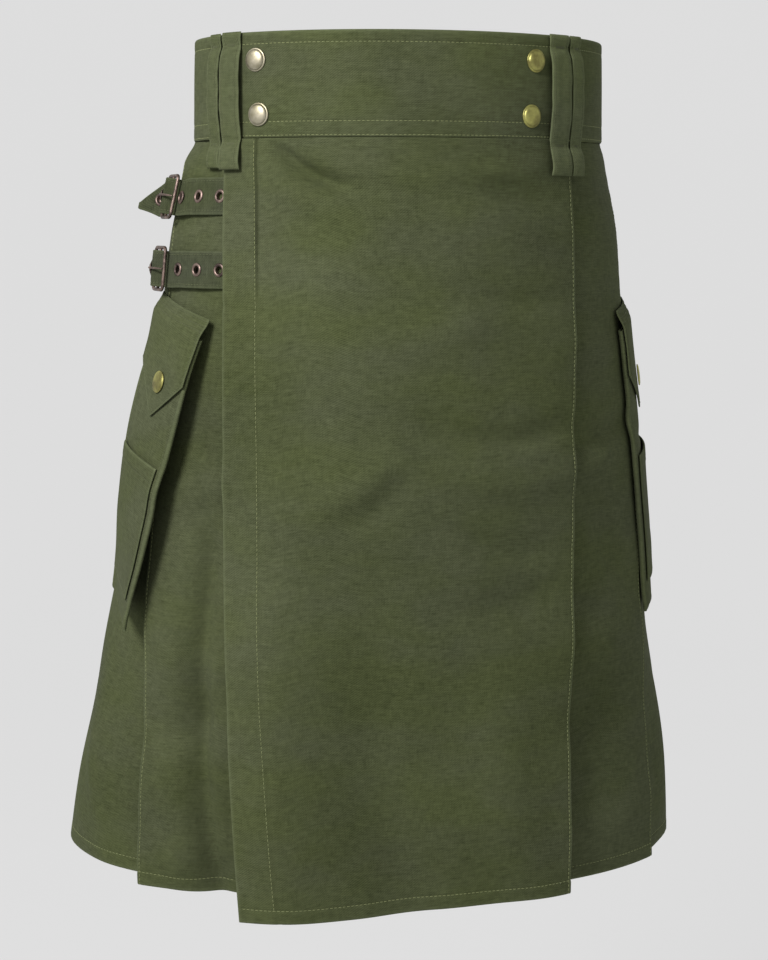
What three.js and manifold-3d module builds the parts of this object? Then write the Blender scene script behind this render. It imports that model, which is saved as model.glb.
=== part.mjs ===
// A utility kilt on its hollow worn form, in millimetres, +Z up, with its front facing -Y.
// The origin is in the middle of the waist opening, halfway up the waistband. Each piece of cloth is a thin
// wall laid on the outline of the worn skirt: a place on it is a level, a length along the outline from the
// front centre (positive toward +X), and a distance out from the outline.
import * as THREE from "three";
import { mergeVertices } from "three/addons/utils/BufferGeometryUtils.js";
import Module from "manifold-3d";

// Levels of the whole garment
const BAND_TOP = 34;
const BAND_FOOT = -36;
const HEM = -575;

// Thicknesses and clearances
const CLOTH = 1.5;
const BAND_CLOTH = 3;
const WEBBING = 2;
const TAB_CLOTH = 1;
const SEAM = 0.3;
const LAYER = CLOTH + 0.4;

// The outline of the worn skirt at a few levels: half its width, how far back its widest place is,
// how far its front and back lie from the origin, and how square its front is (2 is an ellipse)
const OUTLINES = table(
  ["level", "halfWidth", "middle", "front", "back", "square"],
  [
    [34, 148, 6, 110, 110, 2],
    [-36, 149.4, 6.8, 110, 112, 2],
    [-44, 152, 9.2, 110.8, 115, 2.01],
    [-60, 155.6, 13, 112, 121, 2.04],
    [-100, 164.1, 15.5, 114, 132, 2.08],
    [-145, 169.3, 22, 115, 143, 2.13],
    [-240, 183.3, 38, 114, 160, 2.2],
    [-340, 199, 57, 110, 175, 2.25],
    [-440, 215, 81, 106, 195, 2.28],
    [-510, 229.2, 97, 103, 209, 2.29],
    [-575, 236.5, 108.5, 101, 222, 2.3],
  ],
);

// The aprons: lengths along the outline of their edges, and how far they stand out
const APRON_FREE_EDGE = -155;
const APRON_SWING = 19; // how far the free edge leans toward the front at the hem
const APRON_FOLD = 105.5;
const APRON_TURN_IN = 36;
const UNDER_APRON_SEAM = -112;
const UNDER_APRON_FREE_EDGE = 42;
// The apron's distance out from the outline, across it, at the waist seam and at the hem
const APRON_STAND = table(
  ["along", "top", "hem"],
  [
    [-155, 2, 13],
    [-125, 1.6, 12.5],
    [-60, 0.6, 6],
    [0, 0, -3],
    [60, 0, -2],
    [105.5, 0, 1],
  ],
);

// The pleated panels from each apron to the back centre. Each ends at a fold that faces the back; the next
// panel comes out from under it. Distances of the fold from the back centre at the waist and at the hem, how
// far the panel stands out from the outline at the hem where it starts and at its fold, and the power by
// which it rises between them.
const PANEL_NAMES = ["foldAtWaist", "foldAtHem", "startOut", "foldOut", "fullness"];
const PANELS = {
  left: table(PANEL_NAMES, [
    [190, 410, -35, -7, 1],
    [129, 266, -30, 1, 2.2],
    [64.5, 133, -15, 2, 2.2],
    [1.2, 1.2, -15, 1, 2.2],
  ]),
  right: table(PANEL_NAMES, [
    [219, 439, -20, 2, 1],
    [129, 266, -4, 3, 2.2],
    [64.5, 133, -15, 2, 2.2],
    [1.2, 1.2, -15, 1, 2.2],
  ]),
};
const PLEAT_DEPTH = 40;
const PANEL_COVER = 3;
const PANEL_STEPS = 4; // the strips of a panel before its pleat, of a pleat's layers, and of each fold
const PLEAT_STEPS = 3;
const FOLD_STEPS = 4;
const PLEAT_OPENING = 2.2; // the power of the depth at which the pleats and aprons open toward the hem
const LEFT_PANEL_START = -116;
const RIGHT_PANEL_START = 62;

// The waistband is one strip that overlaps itself at the front: its outer end is on the apron's free edge
const BAND_OUTER_END = -157;
const BAND_INNER_END = 50;
const BAND_LAP = BAND_CLOTH + 0.4;
const BAND_LAP_START = 110;
const LAP_FADE = 0.03; // the share of the skirt's depth over which it comes out again below the band

// Belt loops: length along the outline of their middle, width, and how far their ends reach below the band
// as a share of the course that follows
const LOOPS = table(
  ["name", "along", "width", "length"],
  [
    ["belt_loop_left_front", -148.5, 18, 0.9],
    ["belt_loop_left_rear", -168, 12, 0.83],
    ["belt_loop_right_front", 91, 19, 1.08],
    ["belt_loop_right_rear", 108.5, 13, 1.08],
    ["belt_loop_back_left", -345, 18, 1],
    ["belt_loop_back_centre", 414, 18, 1],
    ["belt_loop_back_right", 345, 18, 1],
  ],
);
const LOOP_CLOTH = 1.6;
// A loop's level down its length, and how far its middle layer stands off the band or skirt
const LOOP_COURSE = table(
  ["level", "stand"],
  [
    [34.5, 1.3],
    [31, 1.9],
    [26, 1.5],
    [18, 3.4],
    [4, 4.6],
    [-14, 4.6],
    [-30, 3.2],
    [-40, 2],
    [-46, 3.2],
    [-53, 3.8],
    [-59, 3],
  ],
);

// Studs and snaps
const STUD_RADIUS = 7.5;
const STUD_HEIGHT = 3.6;
const STUDS = table(
  ["name", "along", "level"],
  [
    ["stud_left_upper", -128, 15.5],
    ["stud_left_lower", -126, -20.5],
    ["stud_right_upper", 70, 16],
    ["stud_right_lower", 66.5, -21],
  ],
);

// The two buckled straps at the wearer's right hip
const STRAP_WIDTH = 25.4;
const STRAP_ROOT = -132;
const EYELET_RADIUS = 4.8;
const EYELET_HOLE = 2.7;
const EYELET_HEIGHT = 0.8;
const EYELET_LIFT = 1;
const BUCKLE_WIDTH = 30;
const BUCKLE_HEIGHT = 32;
const BUCKLE_WIRE = 2.4;
const BUCKLE_STAND = 7.4; // the middle of the buckle's frame, out from the outline
const TAB_END = -262;
const TAB_SINK = 0.8; // how much deeper the tab's end lies, on the panel behind the fold
const TAB_WRAP = 0.71 * BUCKLE_WIRE + SEAM + TAB_CLOTH / 2; // its middle layer about the bar
const STRAPS = table(
  ["name", "level", "buckle", "tip", "tipOut", "droop"],
  [
    ["upper", -74.6, -218, -255, 22, 9],
    ["lower", -124.8, -226, -260, 6, 0],
  ],
);
const EYELETS = {
  upper: [-161, -181, -200, -221.5, -241],
  lower: [-160.5, -180, -201, -229.5, -250],
};

// The pockets: each is laid out from the front end of its top edge, back toward the rear and down toward the
// hem. The left one's front edge hangs further away from the skirt.
const POCKETS = table(
  ["name", "side", "along", "level", "tilt", "edgeShare", "fullness"],
  [
    ["left_pocket_", -1, 168, -161, THREE.MathUtils.degToRad(15), 1, 1],
    ["right_pocket_", 1, 166, -158.5, THREE.MathUtils.degToRad(9.5), 0.35, 0.4],
  ],
);
const POCKET_WIDTH = 66;
const POCKET_LENGTH = 226;
const POCKET_DEPTH = 3.4;
const POCKET_CLOTH = 1.1;
const POCKET_MOUTH = 12;
const BAG_ROWS = [24, 36, 48, 60, 75, 98, 124, 152, 180, 205];
const POCKET_FLAT = CLOTH / 2 + SEAM + POCKET_DEPTH; // the face of a bag that lies flat on the hip
// How much further out a pocket's face stands, down its length: its front edge, middle and rear edge
const POCKET_STAND = table(
  ["down", "edge", "middle", "rear"],
  [
    [0, 0, 0, 0],
    [45, 7.5, 1.8, 4.5],
    [100, 10.5, 8.5, 8],
    [150, 12, 7, 6],
    [190, 12.5, 3.5, 2],
    [226, 12.5, 2.1, 0],
  ],
);
const FLAP_TOP = -3;
const FLAP_SIDE = 45;
const FLAP_POINT = 77;
const FLAP_MIDDLE = 29.5; // how far back its point and snap are
const FLAP_SNAP = 52;
const PATCH_TOP = 106;
const PATCH_FOOT = 204;
const PATCH_WIDTH = 57;

const COLOURS = {
  drill: 0x565f42,
  webbing: 0x545b40,
  pearl: 0xc9c2b0,
  brass: 0xb09a5c,
  steel: 0xb4b4ae,
};

const kilt = new THREE.Group();
const wasm = await Module();
wasm.setup();

// Rows of values under the names of their columns
function table(names, rows) {
  return rows.map((row) => Object.fromEntries(names.map((name, i) => [name, row[i]])));
}

// A column's value between the rows of a table, on a smooth curve that doesn't overshoot them
function between(rows, key, name, value) {
  const sign = Math.sign(rows.at(-1)[key] - rows[0][key]);
  let i = 0;
  while (i < rows.length - 2 && (value - rows[i + 1][key]) * sign > 0) {
    i += 1;
  }
  const slope = (k) => (rows[k + 1][name] - rows[k][name]) / (rows[k + 1][key] - rows[k][key]);
  const tangent = (k) => {
    if (k === 0) return slope(0);
    if (k === rows.length - 1) return slope(k - 1);
    const before = slope(k - 1);
    const after = slope(k);
    return before * after <= 0 ? 0 : (2 * before * after) / (before + after);
  };
  const span = rows[i + 1][key] - rows[i][key];
  const t = THREE.MathUtils.clamp((value - rows[i][key]) / span, 0, 1);
  const near = (1 + 2 * t) * (1 - t) ** 2 * rows[i][name] + t * (1 - t) ** 2 * span * tangent(i);
  const far = t * t * (3 - 2 * t) * rows[i + 1][name] - t * t * (1 - t) * span * tangent(i + 1);
  return near + far;
}

const ease = (t) => t * t * (3 - 2 * t);
const mix = THREE.MathUtils.lerp;
const opening = (depth) => depth ** PLEAT_OPENING;

// The point of a level's outline in the direction of an angle from the front centre
function outlinePoint(section, angle) {
  const side = Math.abs(Math.sin(angle));
  const ahead = Math.cos(angle);
  const isFront = ahead >= 0;
  const power = isFront ? section.square : 2;
  const depth = isFront ? section.middle + section.front : section.back - section.middle;
  const sum = (side / section.halfWidth) ** power + (Math.abs(ahead) / depth) ** power;
  const reach = sum ** (-1 / power);
  return new THREE.Vector2(reach * Math.sin(angle), section.middle - reach * ahead);
}

// A level's section with the lengths along its outline, from the front centre to the back centre
const ANGLE_STEPS = 240;
const measured = new Map();
function outlineAt(level) {
  const key = level.toFixed(2);
  if (!measured.has(key)) {
    const section = {};
    for (const name of ["halfWidth", "middle", "front", "back", "square"]) {
      section[name] = between(OUTLINES, "level", name, level);
    }
    const lengths = [0];
    let last = outlinePoint(section, 0);
    for (let i = 1; i <= ANGLE_STEPS; i += 1) {
      const next = outlinePoint(section, (Math.PI * i) / ANGLE_STEPS);
      lengths.push(lengths[i - 1] + next.distanceTo(last));
      last = next;
    }
    measured.set(key, { section, lengths, half: lengths[ANGLE_STEPS] });
  }
  return measured.get(key);
}

// The point at a level, a length along the outline and a distance out, with the direction out
function place(level, along, out = 0) {
  const { section, lengths, half } = outlineAt(level);
  let length = along;
  if (length > half) length -= 2 * half;
  if (length < -half) length += 2 * half;
  const size = Math.abs(length);
  let low = 0;
  let high = ANGLE_STEPS;
  while (high - low > 1) {
    const guess = (low + high) >> 1;
    if (lengths[guess] > size) high = guess;
    else low = guess;
  }
  const share = (size - lengths[low]) / (lengths[high] - lengths[low]);
  const angle = (Math.sign(length) * Math.PI * (low + share)) / ANGLE_STEPS;
  const nudge = 0.002;
  const course = outlinePoint(section, angle + nudge).sub(outlinePoint(section, angle - nudge)).normalize();
  const point = outlinePoint(section, angle);
  const outward = new THREE.Vector3(course.y, -course.x, 0);
  const at = new THREE.Vector3(point.x, point.y, level).addScaledVector(outward, out);
  return { at, out: outward, course: new THREE.Vector3(course.x, course.y, 0) };
}

// Axes of a small rigid piece that sits on the cloth: x along the outline, z out from the cloth
function seat(level, along, out, lean = 0) {
  const step = 4;
  const centre = place(level, along, out);
  const above = place(level + step, along, out).at;
  const below = place(level - step, along, out).at;
  const up = above.sub(below).normalize();
  const across = centre.course.clone().addScaledVector(centre.out, lean).normalize();
  const outward = new THREE.Vector3().crossVectors(across, up).normalize();
  return new THREE.Matrix4()
    .makeBasis(across, new THREE.Vector3().crossVectors(outward, across), outward)
    .setPosition(centre.at);
}

function addMesh(name, geometry, colour, metalness = 0, roughness = 0.85) {
  const material = new THREE.MeshStandardMaterial({ color: colour, metalness, roughness });
  const mesh = new THREE.Mesh(geometry, material);
  mesh.name = name;
  kilt.add(mesh);
  return mesh;
}

function meshFrom(points, faces) {
  const geometry = new THREE.BufferGeometry().setFromPoints(points);
  geometry.setIndex(faces);
  geometry.computeVertexNormals();
  return geometry;
}

// A wall of even thickness about rows of places: the rows follow each other down the cloth, and keep() says
// which of the cells between them are cloth. Each cell is split on its shorter diagonal, so that layers that
// lie on each other stay apart
function wall(rows, thickness, keep = () => true) {
  const points = [];
  const index = rows.map((row) =>
    row.map(({ at, out }) => {
      points.push(at.clone().addScaledVector(out, thickness / 2));
      points.push(at.clone().addScaledVector(out, -thickness / 2));
      return points.length - 2;
    }),
  );
  const faces = [];
  const quad = (a, b, c, d) => faces.push(a, b, c, a, c, d);
  const isCloth = (v, u) => v >= 0 && u >= 0 && v < rows.length - 1 && u < rows[0].length - 1 && keep(v, u);
  for (let v = 0; v < rows.length - 1; v += 1) {
    for (let u = 0; u < rows[0].length - 1; u += 1) {
      if (!isCloth(v, u)) continue;
      const a = index[v][u];
      const b = index[v][u + 1];
      const c = index[v + 1][u + 1];
      const d = index[v + 1][u];
      const falling = rows[v][u].at.distanceTo(rows[v + 1][u + 1].at);
      const isFalling = falling <= rows[v][u + 1].at.distanceTo(rows[v + 1][u].at);
      if (isFalling) {
        quad(a, d, c, b);
        quad(a + 1, b + 1, c + 1, d + 1);
      } else {
        quad(d, c, b, a);
        quad(b + 1, c + 1, d + 1, a + 1);
      }
      if (!isCloth(v - 1, u)) quad(a, b, b + 1, a + 1);
      if (!isCloth(v + 1, u)) quad(c, d, d + 1, c + 1);
      if (!isCloth(v, u - 1)) quad(d, a, a + 1, d + 1);
      if (!isCloth(v, u + 1)) quad(b, c, c + 1, b + 1);
    }
  }
  return meshFrom(points, faces);
}

const steps = (count) => Array.from({ length: count + 1 }, (_, i) => i / count);

// How far the hem rises where the cloth runs outward on its way down, so that its length stays the same
function hemRise(along) {
  const top = outlineAt(BAND_FOOT);
  const foot = outlineAt(HEM);
  const share = Math.min(Math.abs(along), foot.half) / foot.half;
  const from = place(BAND_FOOT, share * top.half).at;
  const to = place(HEM, share * foot.half).at;
  const run = Math.hypot(to.x - from.x, to.y - from.y);
  return run ** 2 / (2 * (BAND_FOOT - HEM));
}

// How far in the band lies after it has gone round the back and under its own outer end
function lapIn(share) {
  return -BAND_LAP * ease(THREE.MathUtils.clamp(share, 0, 1));
}

// The outer apron: from its free edge to its fold, then turned in under itself
function apronCourse(depth) {
  const course = [];
  const open = opening(depth);
  const standAt = (name, along) => between(APRON_STAND, "along", name, along);
  const outAt = (along) => mix(standAt("top", along), standAt("hem", along), open);
  const freeEdge = APRON_FREE_EDGE + APRON_SWING * open;
  const acrossSteps = 17;
  const radius = mix(LAYER / 2, 2.6, open);
  for (const t of steps(acrossSteps)) {
    const along = mix(freeEdge, APRON_FOLD - radius, t);
    course.push({ along, out: outAt(along), turn: 0 });
  }
  const edgeOut = outAt(APRON_FOLD);
  const foldSteps = 4;
  for (const t of steps(foldSteps).slice(1)) {
    const turn = Math.PI * t;
    course.push({
      along: APRON_FOLD - radius + radius * Math.sin(turn),
      out: edgeOut - radius + radius * Math.cos(turn),
      turn,
    });
  }
  for (const t of [0.5, 1]) {
    course.push({ along: APRON_FOLD - radius - APRON_TURN_IN * t, out: edgeOut - 2 * radius, turn: Math.PI });
  }
  return course;
}

// The under apron, hidden behind the outer one
function underApronCourse(depth) {
  const open = opening(depth);
  return steps(10).map((t) => ({
    along: mix(UNDER_APRON_SEAM, UNDER_APRON_FREE_EDGE, t),
    out: mix(mix(-4, -5.2, t), mix(-37, -13, ease(t)), open),
    turn: 0,
  }));
}

// One side's pleated panels as places from the front to the back centre: distance from the front centre and
// out, with how far the cloth has turned round at each
function pleatCourse(side, depth, halfLength) {
  const open = opening(depth);
  const panels = PANELS[side];
  const waistHalf = outlineAt(BAND_FOOT).half;
  const spread = (halfLength - waistHalf) / (outlineAt(HEM).half - waistHalf);
  const lapShare = 1 - ease(Math.min(1, depth / LAP_FADE));
  const lap = (distance) => lapShare * lapIn(side === "left" ? 1 : (distance - BAND_LAP_START) / 400);
  const course = [];
  const start = side === "left" ? -LEFT_PANEL_START : RIGHT_PANEL_START;
  const apronEdge = side === "left" ? -APRON_FREE_EDGE : APRON_FOLD;
  let cover = apronEdge + PANEL_COVER; // where the panel comes out from under the cloth over it
  let startOut = lap(start) + mix(-2 * LAYER, panels[0].startOut, open);
  course.push({ along: start, out: startOut, turn: 0 });
  panels.forEach((panel, i) => {
    const fold = halfLength - mix(panel.foldAtWaist, panel.foldAtHem, spread);
    const next = panels[i + 1] ?? { startOut: panel.startOut };
    const foldOut = lap(fold) + mix(0, panel.foldOut, open);
    const nextOut = lap(fold) + mix(-2 * LAYER, next.startOut, open);
    const radius = (foldOut - nextOut) / 4;
    const edge = fold - radius;
    const innerTurn = edge - PLEAT_DEPTH;
    const from = cover;
    const fromOut = startOut;
    const outAt = (along) => {
      const t = THREE.MathUtils.clamp((along - from) / (edge - from), 0, 1);
      return mix(fromOut, foldOut, 1 - (1 - t) ** panel.fullness);
    };
    const folded = steps(PLEAT_STEPS).map((t) => mix(innerTurn, edge, t));
    const exposed = steps(PANEL_STEPS).slice(0, -1).map((t) => mix(from, innerTurn, t));
    for (const along of [...exposed, ...folded]) {
      course.push({ along, out: outAt(along), turn: 0 });
    }
    for (const t of steps(FOLD_STEPS).slice(1)) {
      const turn = Math.PI * t;
      course.push({
        along: edge + radius * Math.sin(turn),
        out: foldOut - radius + radius * Math.cos(turn),
        turn,
      });
    }
    for (const along of folded.toReversed().slice(1)) {
      course.push({ along, out: outAt(along) - 2 * radius, turn: Math.PI });
    }
    for (const t of steps(FOLD_STEPS).slice(1)) {
      const turn = Math.PI * (1 - t);
      course.push({
        along: innerTurn - radius * Math.sin(turn),
        out: outAt(innerTurn) - 3 * radius - radius * Math.cos(turn),
        turn,
      });
    }
    for (const along of folded.slice(1)) {
      course.push({ along, out: outAt(along) - 4 * radius, turn: 0 });
    }
    startOut = nextOut;
    cover = fold + PANEL_COVER;
  });
  course.push({ along: halfLength, out: startOut, turn: 0 });
  return course;
}

// The place of one point of a course: its wall faces out, or back in where the cloth has turned round
function coursePlace(level, side, { along, out, turn }) {
  const spot = place(level, side * along, out);
  const outward = spot.out.clone().multiplyScalar(Math.cos(turn));
  outward.addScaledVector(spot.course, side * Math.sin(turn));
  return { at: spot.at, out: outward };
}

const SKIRT_TOP = BAND_FOOT - SEAM;
// The rows of the skirt and the aprons: shares of the way down from the waist seam to the hem
const SKIRT_DEPTHS = [0, 0.03, 0.12, 0.26, 0.42, 0.58, 0.74, 0.88, 1];

// The level of a row of the skirt, a share of the way down to the hem, at a length along the outline
function skirtLevel(depth, along) {
  return mix(SKIRT_TOP, HEM + hemRise(along), depth);
}

function makeOuterApron() {
  const rows = SKIRT_DEPTHS.map((depth) =>
    apronCourse(depth).map((spot) => coursePlace(mix(SKIRT_TOP, HEM, depth), 1, spot)),
  );
  return addMesh("outer_apron", wall(rows, CLOTH), COLOURS.drill);
}

function makeUnderApron() {
  const rows = SKIRT_DEPTHS.map((depth) =>
    underApronCourse(depth).map((spot) => coursePlace(mix(SKIRT_TOP, HEM + 8, depth), 1, spot)),
  );
  return addMesh("under_apron", wall(rows, CLOTH), COLOURS.drill);
}

function makePleatedSkirt() {
  const rows = SKIRT_DEPTHS.map((depth) => {
    const level = mix(SKIRT_TOP, HEM, depth);
    const halfLength = outlineAt(level).half;
    const right = pleatCourse("right", depth, halfLength);
    const left = pleatCourse("left", depth, halfLength);
    const raised = (side) => (spot) => {
      const at = skirtLevel(depth, spot.along);
      return coursePlace(at, side, { ...spot, along: (spot.along * outlineAt(at).half) / halfLength });
    };
    const rightPlaces = right.map(raised(1));
    const leftPlaces = left.map(raised(-1));
    return [...rightPlaces, ...leftPlaces.slice(0, -1).reverse()];
  });
  return addMesh("pleated_skirt", wall(rows, CLOTH), COLOURS.drill);
}

// How far out the waistband's middle layer lies, along its whole length from its outer end
function bandOut(along) {
  return lapIn((along - BAND_LAP_START) / 400);
}

function makeWaistband() {
  const fullTurn = 2 * outlineAt(0).half;
  const end = fullTurn + BAND_INNER_END;
  const rows = [BAND_TOP, mix(BAND_TOP, BAND_FOOT, 0.5), BAND_FOOT].map((level) =>
    steps(76).map((t) => {
      const along = mix(BAND_OUTER_END, end, t);
      const inward = bandOut(along) - 0.8 * ease(THREE.MathUtils.clamp((along - fullTurn + 160) / 60, 0, 1));
      const scale = outlineAt(level).half / outlineAt(0).half;
      const isSecondTurn = along > fullTurn / 2;
      const length = isSecondTurn ? (along - fullTurn) * scale : along * scale;
      return place(level, length, inward);
    }),
  );
  return addMesh("waistband", wall(rows, BAND_CLOTH), COLOURS.drill);
}

// How far out the visible face of the band or skirt is at a belt loop or stud
function bandFace(along) {
  const distance = along < BAND_OUTER_END ? 2 * outlineAt(0).half + along : along;
  return bandOut(distance) + BAND_CLOTH / 2;
}

function makeBeltLoops() {
  for (const loop of LOOPS) {
    const rows = LOOP_COURSE.map(({ level, stand }) => {
      const onApron = loop.along > APRON_FREE_EDGE && loop.along < APRON_FOLD ? 1.4 : 0;
      const below = level < BAND_FOOT ? onApron * (loop.along < 0 ? 1 : 0) : 0;
      const out = bandFace(loop.along) + stand + below;
      const atLevel = level < BAND_FOOT ? mix(BAND_FOOT, level, loop.length) : level;
      return steps(2).map((t) => place(atLevel, loop.along + loop.width * (t - 0.5), out));
    });
    addMesh(loop.name, wall(rows, LOOP_CLOTH), COLOURS.drill);
  }
}

// A domed stud: its flat back lies on the cloth, its dome faces out along z
function studGeometry(radius, height) {
  const rim = 0.9;
  const profile = [
    new THREE.Vector2(0, 0),
    new THREE.Vector2(radius - 0.3, 0),
    new THREE.Vector2(radius, rim),
  ];
  const domeSteps = 4;
  for (const t of steps(domeSteps).slice(1)) {
    const angle = (Math.PI / 2) * t;
    profile.push(new THREE.Vector2(radius * Math.cos(angle), rim + (height - rim) * Math.sin(angle)));
  }
  profile.at(-1).x = 0;
  return new THREE.LatheGeometry(profile, 14).rotateX(Math.PI / 2);
}

function addStud(name, level, along, out, colour) {
  const mesh = addMesh(name, studGeometry(STUD_RADIUS, STUD_HEIGHT), colour, 0.8, 0.35);
  mesh.applyMatrix4(seat(level, along, out));
  return mesh;
}

function makeStuds() {
  for (const { name, along, level } of STUDS) {
    const colour = along < 0 ? COLOURS.pearl : COLOURS.brass;
    addStud(name, level, along, bandFace(along) + SEAM, colour);
  }
}

// Straps and buckles. A buckle's frame is flat, on axes at its middle: x back along the strap, z out.
function buckleAxes(strap) {
  return seat(strap.level, strap.buckle, BUCKLE_STAND);
}

// The strap's middle layer from under the apron, below the frame's front bar, over its middle bar, below its
// rear bar and on to its free tip
function strapCourse(strap) {
  const onPanel = CLOTH / 2 + SEAM + WEBBING / 2;
  const underApron = onPanel - 2 * LAYER;
  const reach = BUCKLE_WIDTH / 2 - BUCKLE_WIRE / 2;
  const under = BUCKLE_STAND - BUCKLE_WIRE / 2 - SEAM - EYELET_LIFT - EYELET_HEIGHT - WEBBING / 2;
  const behind = BUCKLE_STAND - BUCKLE_WIRE / 2 - SEAM - WEBBING / 2;
  const over = BUCKLE_STAND + TAB_WRAP + TAB_CLOTH / 2 + 2 * SEAM + WEBBING / 2;
  return table(
    ["along", "out"],
    [
      [STRAP_ROOT, underApron],
      [-157, underApron],
      [-178, onPanel - 1.2],
      [strap.buckle + reach + 14, onPanel - 0.2],
      [strap.buckle + reach + 2, under - 0.1],
      [strap.buckle + reach - 2, under],
      [strap.buckle, over],
      [strap.buckle - reach + 2, behind],
      [strap.buckle - reach - 2, behind],
      [strap.tip, strap.tipOut],
    ],
  );
}

// A place on the strap's middle layer: it follows the skirt, then the flat of the buckle's frame, and its
// free end droops
function strapPlace(strap, along, middleAcross) {
  const course = strapCourse(strap);
  const free = THREE.MathUtils.clamp((strap.buckle - BUCKLE_WIDTH / 2 - along) / 20, 0, 1);
  const across = middleAcross - strap.droop * free ** 1.5;
  const out = between(course, "along", "out", along);
  const nudge = 0.5;
  const ahead = between(course, "along", "out", along + nudge);
  const slope = (ahead - between(course, "along", "out", along - nudge)) / (2 * nudge);
  const onSkirt = place(strap.level + across, along, out);
  onSkirt.out.addScaledVector(onSkirt.course, -slope).normalize();
  const axes = buckleAxes(strap);
  const onFrame = new THREE.Vector3(along - strap.buckle, across, out - BUCKLE_STAND).applyMatrix4(axes);
  const facing = new THREE.Vector3(-slope, 0, 1).normalize().transformDirection(axes);
  const share = ease(THREE.MathUtils.clamp((along - strap.buckle - BUCKLE_WIDTH / 2) / 12, 0, 1));
  return { at: onFrame.lerp(onSkirt.at, share), out: facing.lerp(onSkirt.out, share).normalize() };
}

// A solid as a manifold, and the geometry of a manifold
function solid(geometry) {
  const bare = geometry.clone();
  bare.deleteAttribute("normal");
  bare.deleteAttribute("uv");
  const merged = mergeVertices(bare, 1e-4);
  return new wasm.Manifold(
    new wasm.Mesh({
      numProp: 3,
      vertProperties: new Float32Array(merged.attributes.position.array),
      triVerts: new Uint32Array(merged.index.array),
    }),
  );
}

function geometryOf(manifold) {
  const mesh = manifold.getMesh();
  const geometry = new THREE.BufferGeometry();
  geometry.setAttribute("position", new THREE.BufferAttribute(mesh.vertProperties, 3));
  geometry.setIndex(new THREE.BufferAttribute(mesh.triVerts, 1));
  geometry.computeVertexNormals();
  return geometry;
}

// Axes on the strap's face: y across the strap, z out from it
function strapAxes(strap, along, lift) {
  const { at, out } = strapPlace(strap, along, 0);
  const up = strapPlace(strap, along, 4).at.sub(strapPlace(strap, along, -4).at).normalize();
  const across = new THREE.Vector3().crossVectors(up, out).normalize();
  const upward = new THREE.Vector3().crossVectors(out, across);
  return new THREE.Matrix4().makeBasis(across, upward, out).setPosition(at.addScaledVector(out, lift));
}

function makeStrap(strap) {
  const point = 14;
  const columns = 36;
  const rows = steps(columns).map((t) => {
    const along = mix(STRAP_ROOT, strap.tip, t);
    const left = along - strap.tip;
    const share = THREE.MathUtils.clamp(left / point, 0, 1);
    const half = (STRAP_WIDTH / 2) * mix(0.16, 1, share);
    return steps(2).map((s) => strapPlace(strap, along, mix(half, -half, s)));
  });
  let body = solid(wall(rows, WEBBING));
  for (const along of EYELETS[strap.name]) {
    const hole = new THREE.CylinderGeometry(EYELET_HOLE, EYELET_HOLE, 4 * WEBBING, 12).rotateX(Math.PI / 2);
    hole.applyMatrix4(strapAxes(strap, along, 0));
    body = body.subtract(solid(hole));
  }
  addMesh(strap.name + "_strap", geometryOf(body), COLOURS.webbing);
  EYELETS[strap.name].forEach((along, i) => {
    const profile = [
      new THREE.Vector2(EYELET_HOLE, 0),
      new THREE.Vector2(EYELET_RADIUS, 0),
      new THREE.Vector2(EYELET_RADIUS - 0.8, EYELET_HEIGHT),
      new THREE.Vector2(EYELET_HOLE + 0.6, EYELET_HEIGHT),
      new THREE.Vector2(EYELET_HOLE, 0),
    ];
    const ring = new THREE.LatheGeometry(profile, 12).rotateX(Math.PI / 2);
    const mesh = addMesh(strap.name + "_eyelet_" + (i + 1), ring, COLOURS.steel, 0.9, 0.4);
    mesh.applyMatrix4(strapAxes(strap, along, WEBBING / 2 + EYELET_LIFT));
  });
}

// A buckle frame: a rounded rectangle with two windows, either side of its middle bar
function makeBuckleFrame(strap) {
  const roundedBox = (path, left, right, bottom, top, radius) => {
    path.moveTo(left + radius, bottom);
    path.lineTo(right - radius, bottom);
    path.absarc(right - radius, bottom + radius, radius, -Math.PI / 2, 0);
    path.absarc(right - radius, top - radius, radius, 0, Math.PI / 2);
    path.absarc(left + radius, top - radius, radius, Math.PI / 2, Math.PI);
    path.absarc(left + radius, bottom + radius, radius, Math.PI, 1.5 * Math.PI);
  };
  const shape = new THREE.Shape();
  const halfWidth = BUCKLE_WIDTH / 2;
  const halfHeight = BUCKLE_HEIGHT / 2;
  roundedBox(shape, -halfWidth, halfWidth, -halfHeight, halfHeight, 5);
  for (const side of [-1, 1]) {
    const inner = (side * BUCKLE_WIRE) / 2;
    const outer = side * (halfWidth - BUCKLE_WIRE);
    const window = new THREE.Path();
    const half = halfHeight - BUCKLE_WIRE;
    roundedBox(window, Math.min(inner, outer), Math.max(inner, outer), -half, half, 1.5);
    shape.holes.push(window);
  }
  const options = { depth: BUCKLE_WIRE, bevelEnabled: false, curveSegments: 3 };
  const geometry = new THREE.ExtrudeGeometry(shape, options);
  geometry.translate(0, 0, -BUCKLE_WIRE / 2);
  const mesh = addMesh(strap.name + "_buckle_frame", geometry, COLOURS.steel, 0.9, 0.35);
  mesh.applyMatrix4(buckleAxes(strap));
}

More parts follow.
